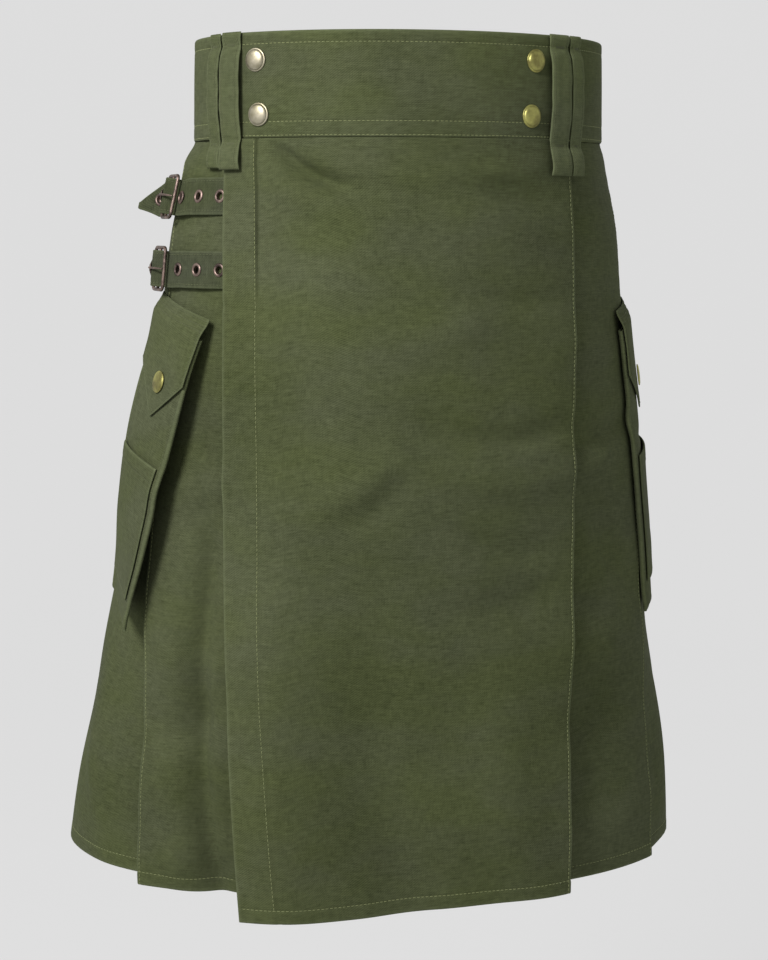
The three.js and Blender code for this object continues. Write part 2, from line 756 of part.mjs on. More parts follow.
// A buckle prong: hooked round the middle bar, up through the strap's hole and onto the front bar
function makeBuckleProng(strap) {
  const radius = 0.8;
  const hook = 0.71 * BUCKLE_WIRE + SEAM + radius;
  const points = [];
  for (const degrees of [-35, -80, -125, -165]) {
    const angle = THREE.MathUtils.degToRad(degrees);
    points.push(new THREE.Vector3(hook * Math.cos(angle), 0, hook * Math.sin(angle)));
  }
  points.push(new THREE.Vector3(-hook - 0.4, 0, 2.4));
  points.push(new THREE.Vector3(-4.2, 0, 5.4));
  points.push(new THREE.Vector3(-3.5, 0, 8.3));
  points.push(new THREE.Vector3(0.8, 0, 9.2));
  points.push(new THREE.Vector3(8, 0, 6.6));
  points.push(new THREE.Vector3(BUCKLE_WIDTH / 2 + 0.6, 0, BUCKLE_WIRE / 2 + SEAM + radius + 0.15));
  const circle = new THREE.Shape().absarc(0, 0, radius, 0, 2 * Math.PI);
  const path = new THREE.CatmullRomCurve3(points);
  const geometry = new THREE.ExtrudeGeometry(circle, { steps: 16, curveSegments: 6, extrudePath: path });
  const mesh = addMesh(strap.name + "_buckle_prong", geometry, COLOURS.steel, 0.9, 0.35);
  mesh.applyMatrix4(buckleAxes(strap));
}

// A buckle tab: sewn to the hip at one end, folded round the middle bar at the other, with the prong's slot
function makeBuckleTab(strap) {
  const onHip = CLOTH / 2 + SEAM + TAB_CLOTH / 2;
  const widths = [-11.5, -3, 3, 11.5];
  const hipSteps = 5;
  const rows = steps(hipSteps).map((t) =>
    widths.map((across) => {
      const along = mix(TAB_END, strap.buckle - 10, t);
      return place(strap.level + across, along, onHip - TAB_SINK * (1 - t));
    }),
  );
  const axes = buckleAxes(strap);
  const facing = new THREE.Vector3(0, 0, 1).transformDirection(axes);
  const slotEnd = -5.2;
  rows.push(
    widths.map((across) => ({
      at: new THREE.Vector3(slotEnd, across, -TAB_WRAP - 0.3).applyMatrix4(axes),
      out: facing.clone(),
    })),
  );
  for (const t of steps(6)) {
    const turn = Math.PI * t;
    const outward = new THREE.Vector3(-Math.sin(turn), 0, Math.cos(turn));
    rows.push(
      widths.map((across) => {
        const at = outward.clone().multiplyScalar(-TAB_WRAP).setY(across);
        return { at: at.applyMatrix4(axes), out: outward.clone().transformDirection(axes) };
      }),
    );
  }
  const geometry = wall(rows, TAB_CLOTH, (v, u) => u !== 1 || v <= hipSteps);
  addMesh(strap.name + "_buckle_tab", geometry, COLOURS.webbing);
}

// A place on a pocket, laid out flat from the front end of its top edge
function pocketPlace(pocket, back, down, out) {
  const cos = Math.cos(pocket.tilt);
  const sin = Math.sin(pocket.tilt);
  const level = pocket.level - down * cos + back * sin;
  const along = pocket.along + back * cos + down * sin;
  return place(level, pocket.side * along, out);
}

// How far out from the hip a pocket's face is, on a curve through its front edge, middle and rear edge
function pocketFace(pocket, back, down) {
  const t = back / POCKET_WIDTH;
  const middle = between(POCKET_STAND, "down", "middle", down);
  const edge = mix(middle, between(POCKET_STAND, "down", "edge", down), pocket.edgeShare);
  const rear = between(POCKET_STAND, "down", "rear", down);
  const stand = edge * (1 - t) * (1 - 2 * t) + middle * 4 * t * (1 - t) + rear * t * (2 * t - 1);
  return POCKET_FLAT + pocket.fullness * stand;
}

// How far out the bag's back is: never closer to the skirt than a seam
function pocketBack(pocket, back, down) {
  return Math.max(CLOTH / 2 + SEAM, pocketFace(pocket, back, down) - POCKET_DEPTH);
}

// An open bag between a front and a back sheet of places, closed at its sides and foot
function bag(outer, inner) {
  const points = [];
  const faces = [];
  const add = (sheet) =>
    sheet.map((row) =>
      row.map((at) => {
        points.push(at);
        return points.length - 1;
      }),
    );
  const quad = (flip, a, b, c, d) => (flip ? faces.push(a, c, b, a, d, c) : faces.push(a, b, c, a, c, d));
  const box = ({ front, back }, flip) => {
    const face = add(front);
    const rear = add(back);
    const last = face.length - 1;
    const end = face[0].length - 1;
    for (let v = 0; v < last; v += 1) {
      for (let u = 0; u < end; u += 1) {
        quad(flip, face[v][u], face[v + 1][u], face[v + 1][u + 1], face[v][u + 1]);
        quad(flip, rear[v][u], rear[v][u + 1], rear[v + 1][u + 1], rear[v + 1][u]);
      }
      quad(flip, rear[v][0], rear[v + 1][0], face[v + 1][0], face[v][0]);
      quad(flip, face[v][end], face[v + 1][end], rear[v + 1][end], rear[v][end]);
    }
    for (let u = 0; u < end; u += 1) {
      quad(flip, face[last][u], rear[last][u], rear[last][u + 1], face[last][u + 1]);
    }
    return [...face[0], ...rear[0].toReversed()];
  };
  const outerRim = box(outer, false);
  const innerRim = box(inner, true);
  outerRim.forEach((point, i) => {
    const next = (i + 1) % outerRim.length;
    quad(false, point, outerRim[next], innerRim[next], innerRim[i]);
  });
  return meshFrom(points, faces);
}

// A sheet of the bag: rows of points between two heights, inset at its sides
function bagSheet(pocket, inset, foot, outAt) {
  const columns = 6;
  return [POCKET_MOUTH, ...BAG_ROWS, foot].map((down) => {
    const line = steps(columns).map((u) => {
      const back = mix(inset, POCKET_WIDTH - inset, u);
      return pocketPlace(pocket, back, down, outAt(back, down)).at;
    });
    return pocket.side > 0 ? line : line.toReversed();
  });
}

function makeBag(pocket) {
  const face = (back, down) => pocketFace(pocket, back, down);
  const rear = (back, down) => pocketBack(pocket, back, down);
  const foot = POCKET_LENGTH - POCKET_CLOTH;
  const outer = {
    front: bagSheet(pocket, 0, POCKET_LENGTH, face),
    back: bagSheet(pocket, 0, POCKET_LENGTH, rear),
  };
  const inner = {
    front: bagSheet(pocket, POCKET_CLOTH, foot, (back, down) => face(back, down) - POCKET_CLOTH),
    back: bagSheet(pocket, POCKET_CLOTH, foot, (back, down) => rear(back, down) + POCKET_CLOTH),
  };
  addMesh(pocket.name + "bag", bag(outer, inner), COLOURS.drill);
}

// A sheet that lies on the pocket: rows of places from its outer points, moved out
function layOnPocket(pocket, columns, rows, from, to, lift) {
  return rows.map((downAt) => {
    const line = steps(columns).map((u) => {
      const back = mix(from, to, u);
      const down = downAt(back);
      return pocketPlace(pocket, back, down, pocketFace(pocket, back, Math.max(down, 0)) + lift(down));
    });
    return pocket.side > 0 ? line : line.toReversed();
  });
}

// The flap: sewn to the hip above the bag's mouth, over its face to a point
function makeFlap(pocket) {
  const overhang = 1;
  const toEdge = (back) => (back < FLAP_MIDDLE ? FLAP_MIDDLE : POCKET_WIDTH - FLAP_MIDDLE) + overhang;
  const foot = (back) => mix(FLAP_POINT, FLAP_SIDE, Math.abs(back - FLAP_MIDDLE) / toEdge(back));
  const onBag = 3 * SEAM + CLOTH / 2;
  const onHip = CLOTH + SEAM - POCKET_FLAT;
  const droopEnd = POCKET_MOUTH - 1;
  const droop = (down) => THREE.MathUtils.clamp((droopEnd - down) / (droopEnd - FLAP_TOP), 0, 1);
  const lift = (down) => mix(onBag, onHip, ease(droop(down)));
  const overMouth = [FLAP_TOP, 2, 5, 8, droopEnd].map((down) => () => down);
  const overFace = steps(5).slice(1).map((t) => (back) => mix(droopEnd, foot(back), t));
  const rows = layOnPocket(pocket, 12, [...overMouth, ...overFace], -overhang, POCKET_WIDTH + overhang, lift);
  addMesh(pocket.name + "flap", wall(rows, CLOTH), COLOURS.drill);
  const snap = addMesh(pocket.name + "snap", studGeometry(STUD_RADIUS, STUD_HEIGHT), COLOURS.brass, 0.8, 0.4);
  snap.applyMatrix4(pocketSeat(pocket, FLAP_MIDDLE, FLAP_SNAP, onBag + CLOTH / 2 + 2 * SEAM));
}

// Axes of a small rigid piece at a height over a pocket's face: z out from it
function pocketSeat(pocket, back, down, lift) {
  const step = 5;
  const spot = (aside, below) => {
    const out = pocketFace(pocket, back + aside, down + below);
    return pocketPlace(pocket, back + aside, down + below, out).at;
  };
  const across = spot(step, 0).sub(spot(-step, 0)).multiplyScalar(pocket.side).normalize();
  const up = spot(0, -step).sub(spot(0, step)).normalize();
  const outward = new THREE.Vector3().crossVectors(across, up).normalize();
  return new THREE.Matrix4()
    .makeBasis(across, new THREE.Vector3().crossVectors(outward, across), outward)
    .setPosition(spot(0, 0).addScaledVector(outward, lift));
}

// The small patch pocket on the bag's face
function makePatch(pocket) {
  const from = (POCKET_WIDTH - PATCH_WIDTH) / 2;
  const downs = steps(6).map((t) => () => mix(PATCH_TOP, PATCH_FOOT, t));
  const rows = layOnPocket(pocket, 6, downs, from, from + PATCH_WIDTH, () => SEAM + CLOTH / 2 + 0.2);
  addMesh(pocket.name + "patch", wall(rows, CLOTH), COLOURS.drill);
}

makeWaistband();
makeOuterApron();
makeUnderApron();
makePleatedSkirt();
makeBeltLoops();
makeStuds();
for (const strap of STRAPS) {
  makeStrap(strap);
  makeBuckleFrame(strap);
  makeBuckleProng(strap);
  makeBuckleTab(strap);
}
for (const pocket of POCKETS) {
  makeBag(pocket);
  makeFlap(pocket);
  makePatch(pocket);
}

export default kilt;
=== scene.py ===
"""A utility kilt of olive drill in its worn form. Each cloth piece is a thin shell on the outline of
the worn skirt, and the seams are sewn with real stitches. Lengths are millimetres until a mesh is made, +Z
is up and the front faces -Y. A place on the kilt is a level, a length along the outline from the front
centre, and a distance out from it."""

import math

import bpy
import numpy as np
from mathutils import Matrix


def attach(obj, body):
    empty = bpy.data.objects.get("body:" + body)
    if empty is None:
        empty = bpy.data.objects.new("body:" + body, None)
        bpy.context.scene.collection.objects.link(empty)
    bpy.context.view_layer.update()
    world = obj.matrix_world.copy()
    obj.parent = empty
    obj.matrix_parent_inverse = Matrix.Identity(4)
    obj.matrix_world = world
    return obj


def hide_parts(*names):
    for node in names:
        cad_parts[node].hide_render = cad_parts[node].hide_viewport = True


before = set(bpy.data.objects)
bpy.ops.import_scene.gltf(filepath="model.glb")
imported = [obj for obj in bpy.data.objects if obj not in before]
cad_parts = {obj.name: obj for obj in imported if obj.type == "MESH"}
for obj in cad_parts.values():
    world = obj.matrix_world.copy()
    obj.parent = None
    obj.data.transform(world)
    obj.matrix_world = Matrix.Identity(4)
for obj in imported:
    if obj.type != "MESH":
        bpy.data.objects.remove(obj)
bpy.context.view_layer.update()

MM = 0.001

# Levels of the whole garment
BAND_TOP = 34.0
BAND_FOOT = -36.0
SEAM = 0.3
SKIRT_TOP = BAND_FOOT - SEAM
HEM = -575.0
HEM_LENGTH = SKIRT_TOP - HEM

# Thicknesses of the cloth, and how far its layers lie apart where they touch
CLOTH = 1.3
BAND_CLOTH = 2.8
WEBBING = 1.9
TAB_CLOTH = 1.0
LAYER = 1.9
ON_HIP = 0.75  # how far the skirt's outer face lies from the outline

# The outline of the worn skirt: level, half its width, how far back its widest place is, how far its front
# and its back lie from the origin, and how square its front is
OUTLINES = np.array([
    [34, 148, 6, 110, 110, 2],
    [-36, 149.4, 6.8, 110, 112, 2],
    [-44, 152, 9.2, 110.8, 115, 2.01],
    [-60, 155.6, 13, 112, 121, 2.04],
    [-100, 164.1, 15.5, 114, 132, 2.08],
    [-145, 169.3, 22, 115, 143, 2.13],
    [-240, 183.3, 38, 114, 160, 2.2],
    [-340, 199, 57, 110, 175, 2.25],
    [-440, 215, 81, 106, 195, 2.28],
    [-510, 229.2, 97, 103, 209, 2.29],
    [-575, 236.5, 108.5, 101, 222, 2.3],
])

# Soft creases of the worn cloth: from a length and level to a length and level, width, and height (negative
# for a trough). Every layer of cloth follows them.
CREASES = np.array([
    [-114, -41, -68, -70, 5, -2.6],
    [-118, -58, -84, -84, 9, 1.4],
    [-92, -50, -50, -70, 8, -1.0],
    [-98, -50, 84, -53, 8, 0.7],
    [26, -62, 80, -82, 9, -1.2],
    [36, -84, 88, -100, 11, 0.7],
    [18, -139, 92, -146, 8, -0.9],
    [-12, -168, 32, -160, 14, 0.9],
    [-80, -283, -34, -252, 10, 1.0],
    [-64, -296, -28, -272, 10, -0.8],
    [-32, -254, 50, -312, 9, 1.3],
    [18, -300, 90, -322, 12, -1.1],
    [-18, -220, 28, -241, 9, -1.3],
    [27, -241, 98, -232, 9, -1.3],
    [4, -262, 92, -270, 11, 1.2],
    [10, -356, 94, -350, 14, -1.1],
    [-102, -320, -98, -575, 30, 2.4],
    [-44, -360, -22, -575, 27, -2.4],
    [46, -420, 82, -575, 25, 2.2],
    [110, -176, 154, -182, 12, 0.9],
    [120, -240, 180, -236, 10, -1.5],
    [110, -262, 152, -256, 9, 1.4],
    [132, -298, 190, -364, 16, -1.5],
    [112, -390, 164, -388, 18, 1.5],
    [112, -448, 178, -444, 18, -1.6],
    [124, -530, 192, -524, 18, 1.5],
    [-196, -278, -158, -270, 12, 1.6],
    [-220, -362, -184, -412, 20, 1.9],
    [-218, -456, -166, -428, 18, -1.9],
    [-214, -548, -180, -540, 16, 1.5],
    [-300, -430, -286, -540, 16, 1.7],
    [226, -128, 272, -172, 13, -1.2],
    [300, -92, 352, -136, 12, -1.1],
    [292, -206, 360, -232, 14, 1.3],
    [380, -180, 326, -254, 13, -1.2],
    [252, -318, 296, -392, 18, 1.6],
    [340, -322, 402, -352, 16, -1.4],
    [396, -404, 430, -575, 24, 2.1],
    [338, -430, 362, -575, 20, -1.9],
    [512, -430, 540, -575, 20, 1.9],
    [250, -440, 262, -575, 22, 1.7],
    [-246, -176, -300, -214, 14, -1.2],
    [-330, -96, -384, -142, 12, -1.1],
    [-296, -262, -372, -236, 14, 1.3],
    [-356, -300, -420, -348, 16, -1.4],
    [-392, -392, -424, -575, 24, 2.1],
    [-350, -440, -372, -575, 20, -1.8],
    [-500, -420, -532, -575, 20, 1.8],
    [-460, -330, -436, -410, 18, -1.4],
])
# Creases of the pleated skirt alone: the hollow beside the outer apron's free edge
SKIRT_CREASES = np.array([
    [-170, -320, -165, -590, 9, -8],
    [-176, -240, -171, -330, 8, -3],
    [-192, -300, -190, -590, 13, 3],
])
CREASE_DEPTH = 3.0  # how strongly they show
CREASE_FADE = 10.0  # how far below the waist seam the creases begin
SWELL = 0.7  # height of the slight waviness of the cloth

# The aprons
APRON_FREE_EDGE = -155.0
APRON_SWING = 19.0
APRON_FOLD = 105.5
APRON_TURN_IN = 36.0
APRON_STAND = np.array([
    [-155, 2, 13],
    [-125, 1.6, 12.5],
    [-60, 0.6, 6],
    [0, 0, -3],
    [60, 0, -2],
    [105.5, 0, 1],
])
UNDER_APRON_SEAM = -112.0
UNDER_APRON_FREE_EDGE = 42.0
UNDER_APRON_RISE = 8.0  # how far its hem ends above the outer apron's
# How far the under apron lies in at its seam and at its free edge, at the waist and at the hem
UNDER_APRON_WAIST = [-4.0, -5.2]
UNDER_APRON_HEM = [-37.0, -13.0]
FACING = 26.0  # width of the turned-in facing at the outer apron's free edge
# The crease beside the facing's stitches: depth, where and over what length it fades, what stays, its foot
FACING_CREASE = 2.6
FACING_FADE_START = 70.0
FACING_FADE = 60.0
FACING_REST = 0.15
FACING_CREASE_END = 112.0
FACING_FOOT = 0.8
APRON_FOLD_RADIUS = 2.6
EDGE_STITCH = 2.2

# The pleated panels from each apron to the back centre: the distance of each fold from the back centre at
# the waist and at the hem, how far the panel stands out at the hem where it starts and at its fold, and its
# fullness
BACK_PANELS = [[64.5, 133, -15, 2, 2.2], [1.2, 1.2, -15, 1, 2.2]]
PANELS = {
    "left": [[190, 410, -35, -7, 1], [129, 266, -30, 1, 2.2], *BACK_PANELS],
    "right": [[219, 439, -20, 2, 1], [129, 266, -4, 3, 2.2], *BACK_PANELS],
}
PLEAT_DEPTH = 40.0
PLEAT_OPENING = 2.2
PANEL_COVER = 3.0
LEFT_PANEL_START = 116.0
RIGHT_PANEL_START = 62.0
HEM_BAND = 10.0

# The waistband, one strip that overlaps itself at the front
BAND_OUTER_END = -157.0
BAND_INNER_END = 50.0
BAND_LAP = 3.4
BAND_LAP_START = 110.0
BAND_LAP_RUN = 400.0
LAP_FADE = 0.03

# Belt loops: name, length along the outline, width, and reach below the band
LOOPS = [
    ["belt_loop_left_front", -147.4, 17, 0.92],
    ["belt_loop_left_rear", -167.6, 12.5, 0.86],
    ["belt_loop_right_front", 91, 19, 1.08],
    ["belt_loop_right_rear", 108.5, 13, 1.08],
    ["belt_loop_back_left", -345, 18, 1],
    ["belt_loop_back_centre", 414, 18, 1],
    ["belt_loop_back_right", 345, 18, 1],
]
LOOP_CLOTH = 1.7
LOOP_COURSE = np.array([
    [34.5, 1.3],
    [31, 1.9],
    [26, 1.5],
    [18, 3.4],
    [4, 4.6],
    [-14, 4.6],
    [-30, 3.2],
    [-40, 2],
    [-46, 3.2],
    [-53, 3.8],
    [-59, 3],
])
LOOP_TACKS = [26.0, -40.0]
LOOP_DENT = 0.8
LOOP_WRINKLE = 0.25
LOOP_ON_APRON = 1.4
LOOP_BACK = 300.0  # beyond this length a loop hangs straight down on the widening skirt

# Studs: name, length along the outline, level, metal
STUDS = [
    ["stud_left_upper", -128, 15.5, "pearl"],
    ["stud_left_lower", -126, -20.5, "pearl"],
    ["stud_right_upper", 70, 16, "brass"],
    ["stud_right_lower", 66.5, -21, "brass"],
]
STUD_RADIUS = 7.9
STUD_HEIGHT = 3.6
SNAP_HEIGHT = 1.7

# The two buckled straps: level, middle of the buckle, tip, how far out the tip stands and how far it droops
STRAPS = {
    "upper": [-74.6, -218, -254, 20.5, 9],
    "lower": [-124.8, -226, -260, 6, 0],
}
EYELETS = {
    "upper": [-161, -181, -200, -221.5, -241],
    "lower": [-160.5, -180, -201, -229.5, -250],
}
STRAP_WIDTH = 25.4
STRAP_ROOT = -132.0
STRAP_POINT = 14.0
STRAP_STITCH = 2.4
EYELET_RADIUS = 4.8
EYELET_HOLE = 2.6
EYELET_CUT = 3.5  # radius of the hole in the webbing, under the ring
BUCKLE_WIDTH = 30.0
BUCKLE_HEIGHT = 32.0
BUCKLE_WIRE = 2.4
BUCKLE_STAND = 7.4
WEBBING_ROOM = 1.0  # half the space that the strap takes
PRONG_ROOM = 0.8
TAB_END = -262.0
TAB_SINK = 0.8
TAB_WRAP = 2.504
TAB_HALF = 11.5
TAB_SLOT = 3.0

# Pockets: side, length along the outline and level of the front end of the top edge, tilt, how much of the
# front edge's stand it has, and how full it is
POCKETS = {
    "left_pocket": [-1, 168, -161, math.radians(15), 1, 1],
    "right_pocket": [1, 166, -158.5, math.radians(9.5), 0.35, 0.15],
}
POCKET_WIDTH = 66.0
POCKET_LENGTH = 226.0
POCKET_DEPTH = 3.4
POCKET_CLOTH = 1.1
POCKET_MOUTH = 12.0
POCKET_STITCH = 3.4
POCKET_FLAT = 4.45
POCKET_STAND = np.array([
    [0, 0, 0, 0],
    [45, 7.5, 1.8, 4.5],
    [100, 10.5, 8.5, 8],
    [150, 12, 7, 6],
    [190, 12.5, 3.5, 2],
    [226, 12.5, 2.1, 0],
])
FLAP_TOP = -3.0
FLAP_SIDE = 45.0
FLAP_POINT = 77.0
FLAP_MIDDLE = 29.5
FLAP_SNAP = 52.0
FLAP_OVERHANG = 1.0
FLAP_STITCHES = [2.0, 6.0, 10.0]
FLAP_OUTER = 0.75  # how far the flap's cloth reaches out and in from its middle
FLAP_INNER = 0.7
PATCH_TOP = 106.0
PATCH_FOOT = 204.0
PATCH_WIDTH = 57.0
PATCH_HEM = 11.0
PATCH_OUTER = 0.7  # how far the patch's cloth reaches out and in from its middle
PATCH_INNER = 0.55
PATCH_LIFT = 0.95
PATCH_GAPE = 1.1

# Stitches
STITCH_PITCH = 3.1
STITCH_LENGTH = 2.2
FINE_PITCH = 2.7
FINE_LENGTH = 1.9
THREAD_RADIUS = 0.29
THREAD_SIDES = 5
# Share of a stitch's length, how far the thread lies out of the cloth, and its share of the full radius
STITCH_RINGS = [(0, -0.18, 0.7), (0.2, 0.08, 1), (0.8, 0.08, 1), (1, -0.18, 0.7)]

# The camera, in the object's frame, and its aim
CAMERA_PLACE = (-375.3, -1400.6, -89.2)
CAMERA_AZIMUTH = math.radians(14.55)
CAMERA_PITCH = math.radians(7.52)
CAMERA_LENS = 74.55
CAMERA_FILM = 36.0

FLOOR = -1050.0  # the floor under a wearer's feet
STAGE_RADIUS = 4200.0
STAGE_TURN = 1500.0  # radius of the turn from floor to wall
STAGE_TOP = 3600.0

# The key light, in metres and watts: place, aim, size, power and colour; and how bright the room is
KEY_LIGHT = [(-1.2, -1.0, 0.8), (-0.05, 0, -0.3), 0.6, 45.5, (1.0, 0.97, 1.0)]
ROOM_LIGHT = 0.4


def ease(t):
    t = np.clip(t, 0, 1)
    return t * t * (3 - 2 * t)


def mix(a, b, t):
    return a + (b - a) * t


def smooth_curve(xs, ys):
    """A curve through points that doesn't overshoot them."""
    order = np.argsort(xs)
    xs = np.asarray(xs, float)[order]
    ys = np.asarray(ys, float)[order]
    slopes = np.diff(ys) / np.diff(xs)
    tangents = np.concatenate([slopes[:1], np.zeros(len(xs) - 2), slopes[-1:]])
    product = slopes[:-1] * slopes[1:]
    total = slopes[:-1] + slopes[1:]
    tangents[1:-1] = np.where(product > 0, 2 * product / np.where(total == 0, 1, total), 0)

    def value_at(x):
        x = np.clip(x, xs[0], xs[-1])
        i = np.clip(np.searchsorted(xs, x) - 1, 0, len(xs) - 2)
        span = xs[i + 1] - xs[i]
        t = (x - xs[i]) / span
        near = (1 + 2 * t) * (1 - t) ** 2 * ys[i] + t * (1 - t) ** 2 * span * tangents[i]
        far = t * t * (3 - 2 * t) * ys[i + 1] - t * t * (1 - t) * span * tangents[i + 1]
        return near + far

    return value_at


SECTION = [smooth_curve(OUTLINES[:, 0], OUTLINES[:, k]) for k in range(1, 6)]


def outline_point(level, angle):
    """The point of a level's outline in the direction of an angle from the front centre."""
    half_width, middle, front, back, square = (curve(level) for curve in SECTION)
    ahead = np.cos(angle)
    is_front = ahead >= 0
    power = np.where(is_front, square, 2.0)
    depth = np.where(is_front, middle + front, back - middle)
    total = (np.abs(np.sin(angle)) / half_width) ** power + (np.abs(ahead) / depth) ** power
    reach = total ** (-1 / power)
    return reach * np.sin(angle), middle - reach * ahead


# Angles of the outline at even shares of its half length, level by level
LEVEL_STEP = 2.0
LEVELS = np.arange(HEM - 10, BAND_TOP + 10, LEVEL_STEP)
SHARES = np.linspace(0, 1, 361)


def measure_outline():
    angles = SHARES * math.pi
    x, y = outline_point(LEVELS[:, None], angles[None, :])
    steps = np.hypot(np.diff(x, axis=1), np.diff(y, axis=1))
    lengths = np.concatenate([np.zeros((len(LEVELS), 1)), np.cumsum(steps, axis=1)], axis=1)
    half = lengths[:, -1]
    even = [np.interp(SHARES, row / row[-1], angles) for row in lengths]
    return half, np.array(even)


HALF_LENGTHS, ANGLE_AT = measure_outline()


def half_length(level):
    return np.interp(level, LEVELS, HALF_LENGTHS)


def crease_height(creases, level, along):
    total = np.zeros(np.broadcast(level, along).shape)
    for from_along, from_level, to_along, to_level, width, height in creases:
        run = np.array([to_along - from_along, to_level - from_level])
        length = np.hypot(*run)
        forward = ((along - from_along) * run[0] + (level - from_level) * run[1]) / length**2
        aside = ((along - from_along) * run[1] - (level - from_level) * run[0]) / length
        inside = np.clip(forward, 0, 1)
        beyond = (forward - inside) * length
        bow = 0.06 * length * np.sin(math.pi * inside)
        swell = 0.45 + 0.55 * np.sin(math.pi * inside) ** 0.8
        total += height * swell * np.exp(-(((aside - bow) / width) ** 2) - (beyond / (1.5 * width)) ** 2)
    return total


def drape(level, along):
    """How far out the worn cloth lies from its outline, by its creases and slight waviness."""
    below = ease((SKIRT_TOP - level) / CREASE_FADE)
    depth = np.clip((SKIRT_TOP - level) / HEM_LENGTH, 0, 1)
    waves = np.sin(along / 31 + level / 74 + 0.8) * np.sin(level / 43 - along / 118)
    waves = waves + 0.6 * np.sin(along / 17.5 - level / 59 + 2.1) * np.sin(level / 66 + 1.2)
    return below * (CREASE_DEPTH * crease_height(CREASES, level, along) + SWELL * (0.5 + depth) * waves)


def stack(*parts):
    return np.stack(np.broadcast_arrays(*parts), axis=-1)


def place(level, along, out=0.0):
    """Points at levels, lengths along the outline and distances out, with the directions out and along."""
    level, along, out = (np.asarray(a, float) for a in np.broadcast_arrays(level, along, out))
    half = half_length(level)
    length = np.where(along > half, along - 2 * half, np.where(along < -half, along + 2 * half, along))
    row = np.clip((level - LEVELS[0]) / LEVEL_STEP, 0, len(LEVELS) - 1.001)
    column = np.clip(np.abs(length) / half, 0, 1) * (len(SHARES) - 1.001)
    i = row.astype(int)
    j = column.astype(int)
    upper = mix(ANGLE_AT[i + 1, j], ANGLE_AT[i + 1, j + 1], column - j)
    lower = mix(ANGLE_AT[i, j], ANGLE_AT[i, j + 1], column - j)
    angle = np.sign(length) * mix(lower, upper, row - i)
    x, y = outline_point(level, angle)
    nudge = 0.002
    next_x, next_y = outline_point(level, angle + nudge)
    last_x, last_y = outline_point(level, angle - nudge)
    size = np.hypot(next_x - last_x, next_y - last_y)
    course_x = (next_x - last_x) / size
    course_y = (next_y - last_y) / size
    reach = out + drape(level, length)
    point = stack(x + course_y * reach, y - course_x * reach, level)
    outward = stack(course_y, -course_x, 0 * level)
    return point, outward, stack(course_x, course_y, 0 * level)


def unit(vectors):
    return vectors / np.linalg.norm(vectors, axis=-1, keepdims=True)


def axes_at(origin, across, up):
    """Axes of a small rigid piece as a 4 by 4 matrix: x across, z out."""
    across = unit(across)
    out = unit(np.cross(across, up))
    matrix = np.eye(4)
    matrix[:3, 0] = across
    matrix[:3, 1] = np.cross(out, across)
    matrix[:3, 2] = out
    matrix[:3, 3] = origin
    return matrix


def seat(level, along, out):
    step = 4.0
    point, _, course = place(level, along, out)
    above = place(level + step, along, out)[0]
    below = place(level - step, along, out)[0]
    return axes_at(point, course, above - below)


def moved(matrix, points):
    return points @ matrix[:3, :3].T + matrix[:3, 3]


# Materials


def add_node(tree, kind, values=None, **settings):
    node = tree.nodes.new(kind)
    for key, value in settings.items():
        setattr(node, key, value)
    for key, value in (values or {}).items():
        if isinstance(value, bpy.types.NodeSocket):
            tree.links.new(value, node.inputs[key])
        else:
            node.inputs[key].default_value = value
    return node


def new_material(name):
    material = bpy.data.materials.new(name)
    material.use_nodes = True
    return material, material.node_tree, material.node_tree.nodes["Principled BSDF"]


def blend(tree, share, first, second):
    node = add_node(tree, "ShaderNodeMix", {0: share, 6: first, 7: second}, data_type="RGBA")
    return node.outputs[2]


def weighted(tree, sockets):
    """A weighted sum of values."""
    total = 0.0
    for socket, weight in sockets:
        values = {0: socket, 1: weight, 2: total}
        total = add_node(tree, "ShaderNodeMath", values, operation="MULTIPLY_ADD").outputs[0]
    return total


def combined(tree, first, second, operation):
    return add_node(tree, "ShaderNodeMath", {0: first, 1: second}, operation=operation).outputs[0]


def spread(tree, value, low, high):
    """A value's share of the way from low to high."""
    return add_node(tree, "ShaderNodeMapRange", {0: value, 1: low, 2: high}).outputs[0]


def bumped(tree, height, strength, distance, normal=None):
    values = {"Strength": strength, "Distance": distance, "Height": height}
    if normal is not None:
        values["Normal"] = normal
    return add_node(tree, "ShaderNodeBump", values).outputs[0]


def finish_surface(tree, surface, colour, normal, values):
    """Links the colour and the relief, and sets the plain values."""
    tree.links.new(colour, surface.inputs["Base Color"])
    if normal is not None:
        tree.links.new(normal, surface.inputs["Normal"])
    for socket, value in values.items():
        surface.inputs[socket].default_value = value


def noise(tree, vector, scale, detail=2.0, roughness=0.5):
    values = {"Vector": vector, "Scale": scale, "Detail": detail, "Roughness": roughness}
    return add_node(tree, "ShaderNodeTexNoise", values).outputs["Fac"]


def stretched(tree, vector, scale, turn=0.0):
    values = {"Vector": vector, "Scale": scale, "Rotation": (0, 0, turn)}
    return add_node(tree, "ShaderNodeMapping", values).outputs["Vector"]


# Scales of the weave and the dye, per metre, and their tints
TWILL_SCALE = 250.0
TWILL_SLANT = math.radians(52)
YARN_LONG = 110.0
YARN_FINE = 1500.0
STREAK_LONG = 38.0
STREAK_FINE = 360.0
PATCH_SCALES = (12, 12, 21)
SCRATCH_SCALES = (400, 3000, 700)
GREYED = (1.02, 1.0, 1.12, 1)
YELLOWED = (0.98, 1.0, 0.88, 1)
WORN_AND_LIT_EDGE_COLOUR = (0.1, 0.117, 0.06, 1)

# How each kind of surface takes the light
DRILL_FINISH = {
    "Roughness": 0.88,
    "Specular IOR Level": 0.05,
    "Sheen Weight": 0.03,
    "Sheen Roughness": 0.55,
    "Sheen Tint": (0.75, 0.8, 0.62, 1),
}
THREAD_FINISH = {"Roughness": 0.8, "Specular IOR Level": 0.3}
PAPER_FINISH = {
    "Roughness": 1.0,
    "Specular IOR Level": 0.0,
    "Emission Color": (1, 1, 1, 1),
    "Emission Strength": 0.64,
}


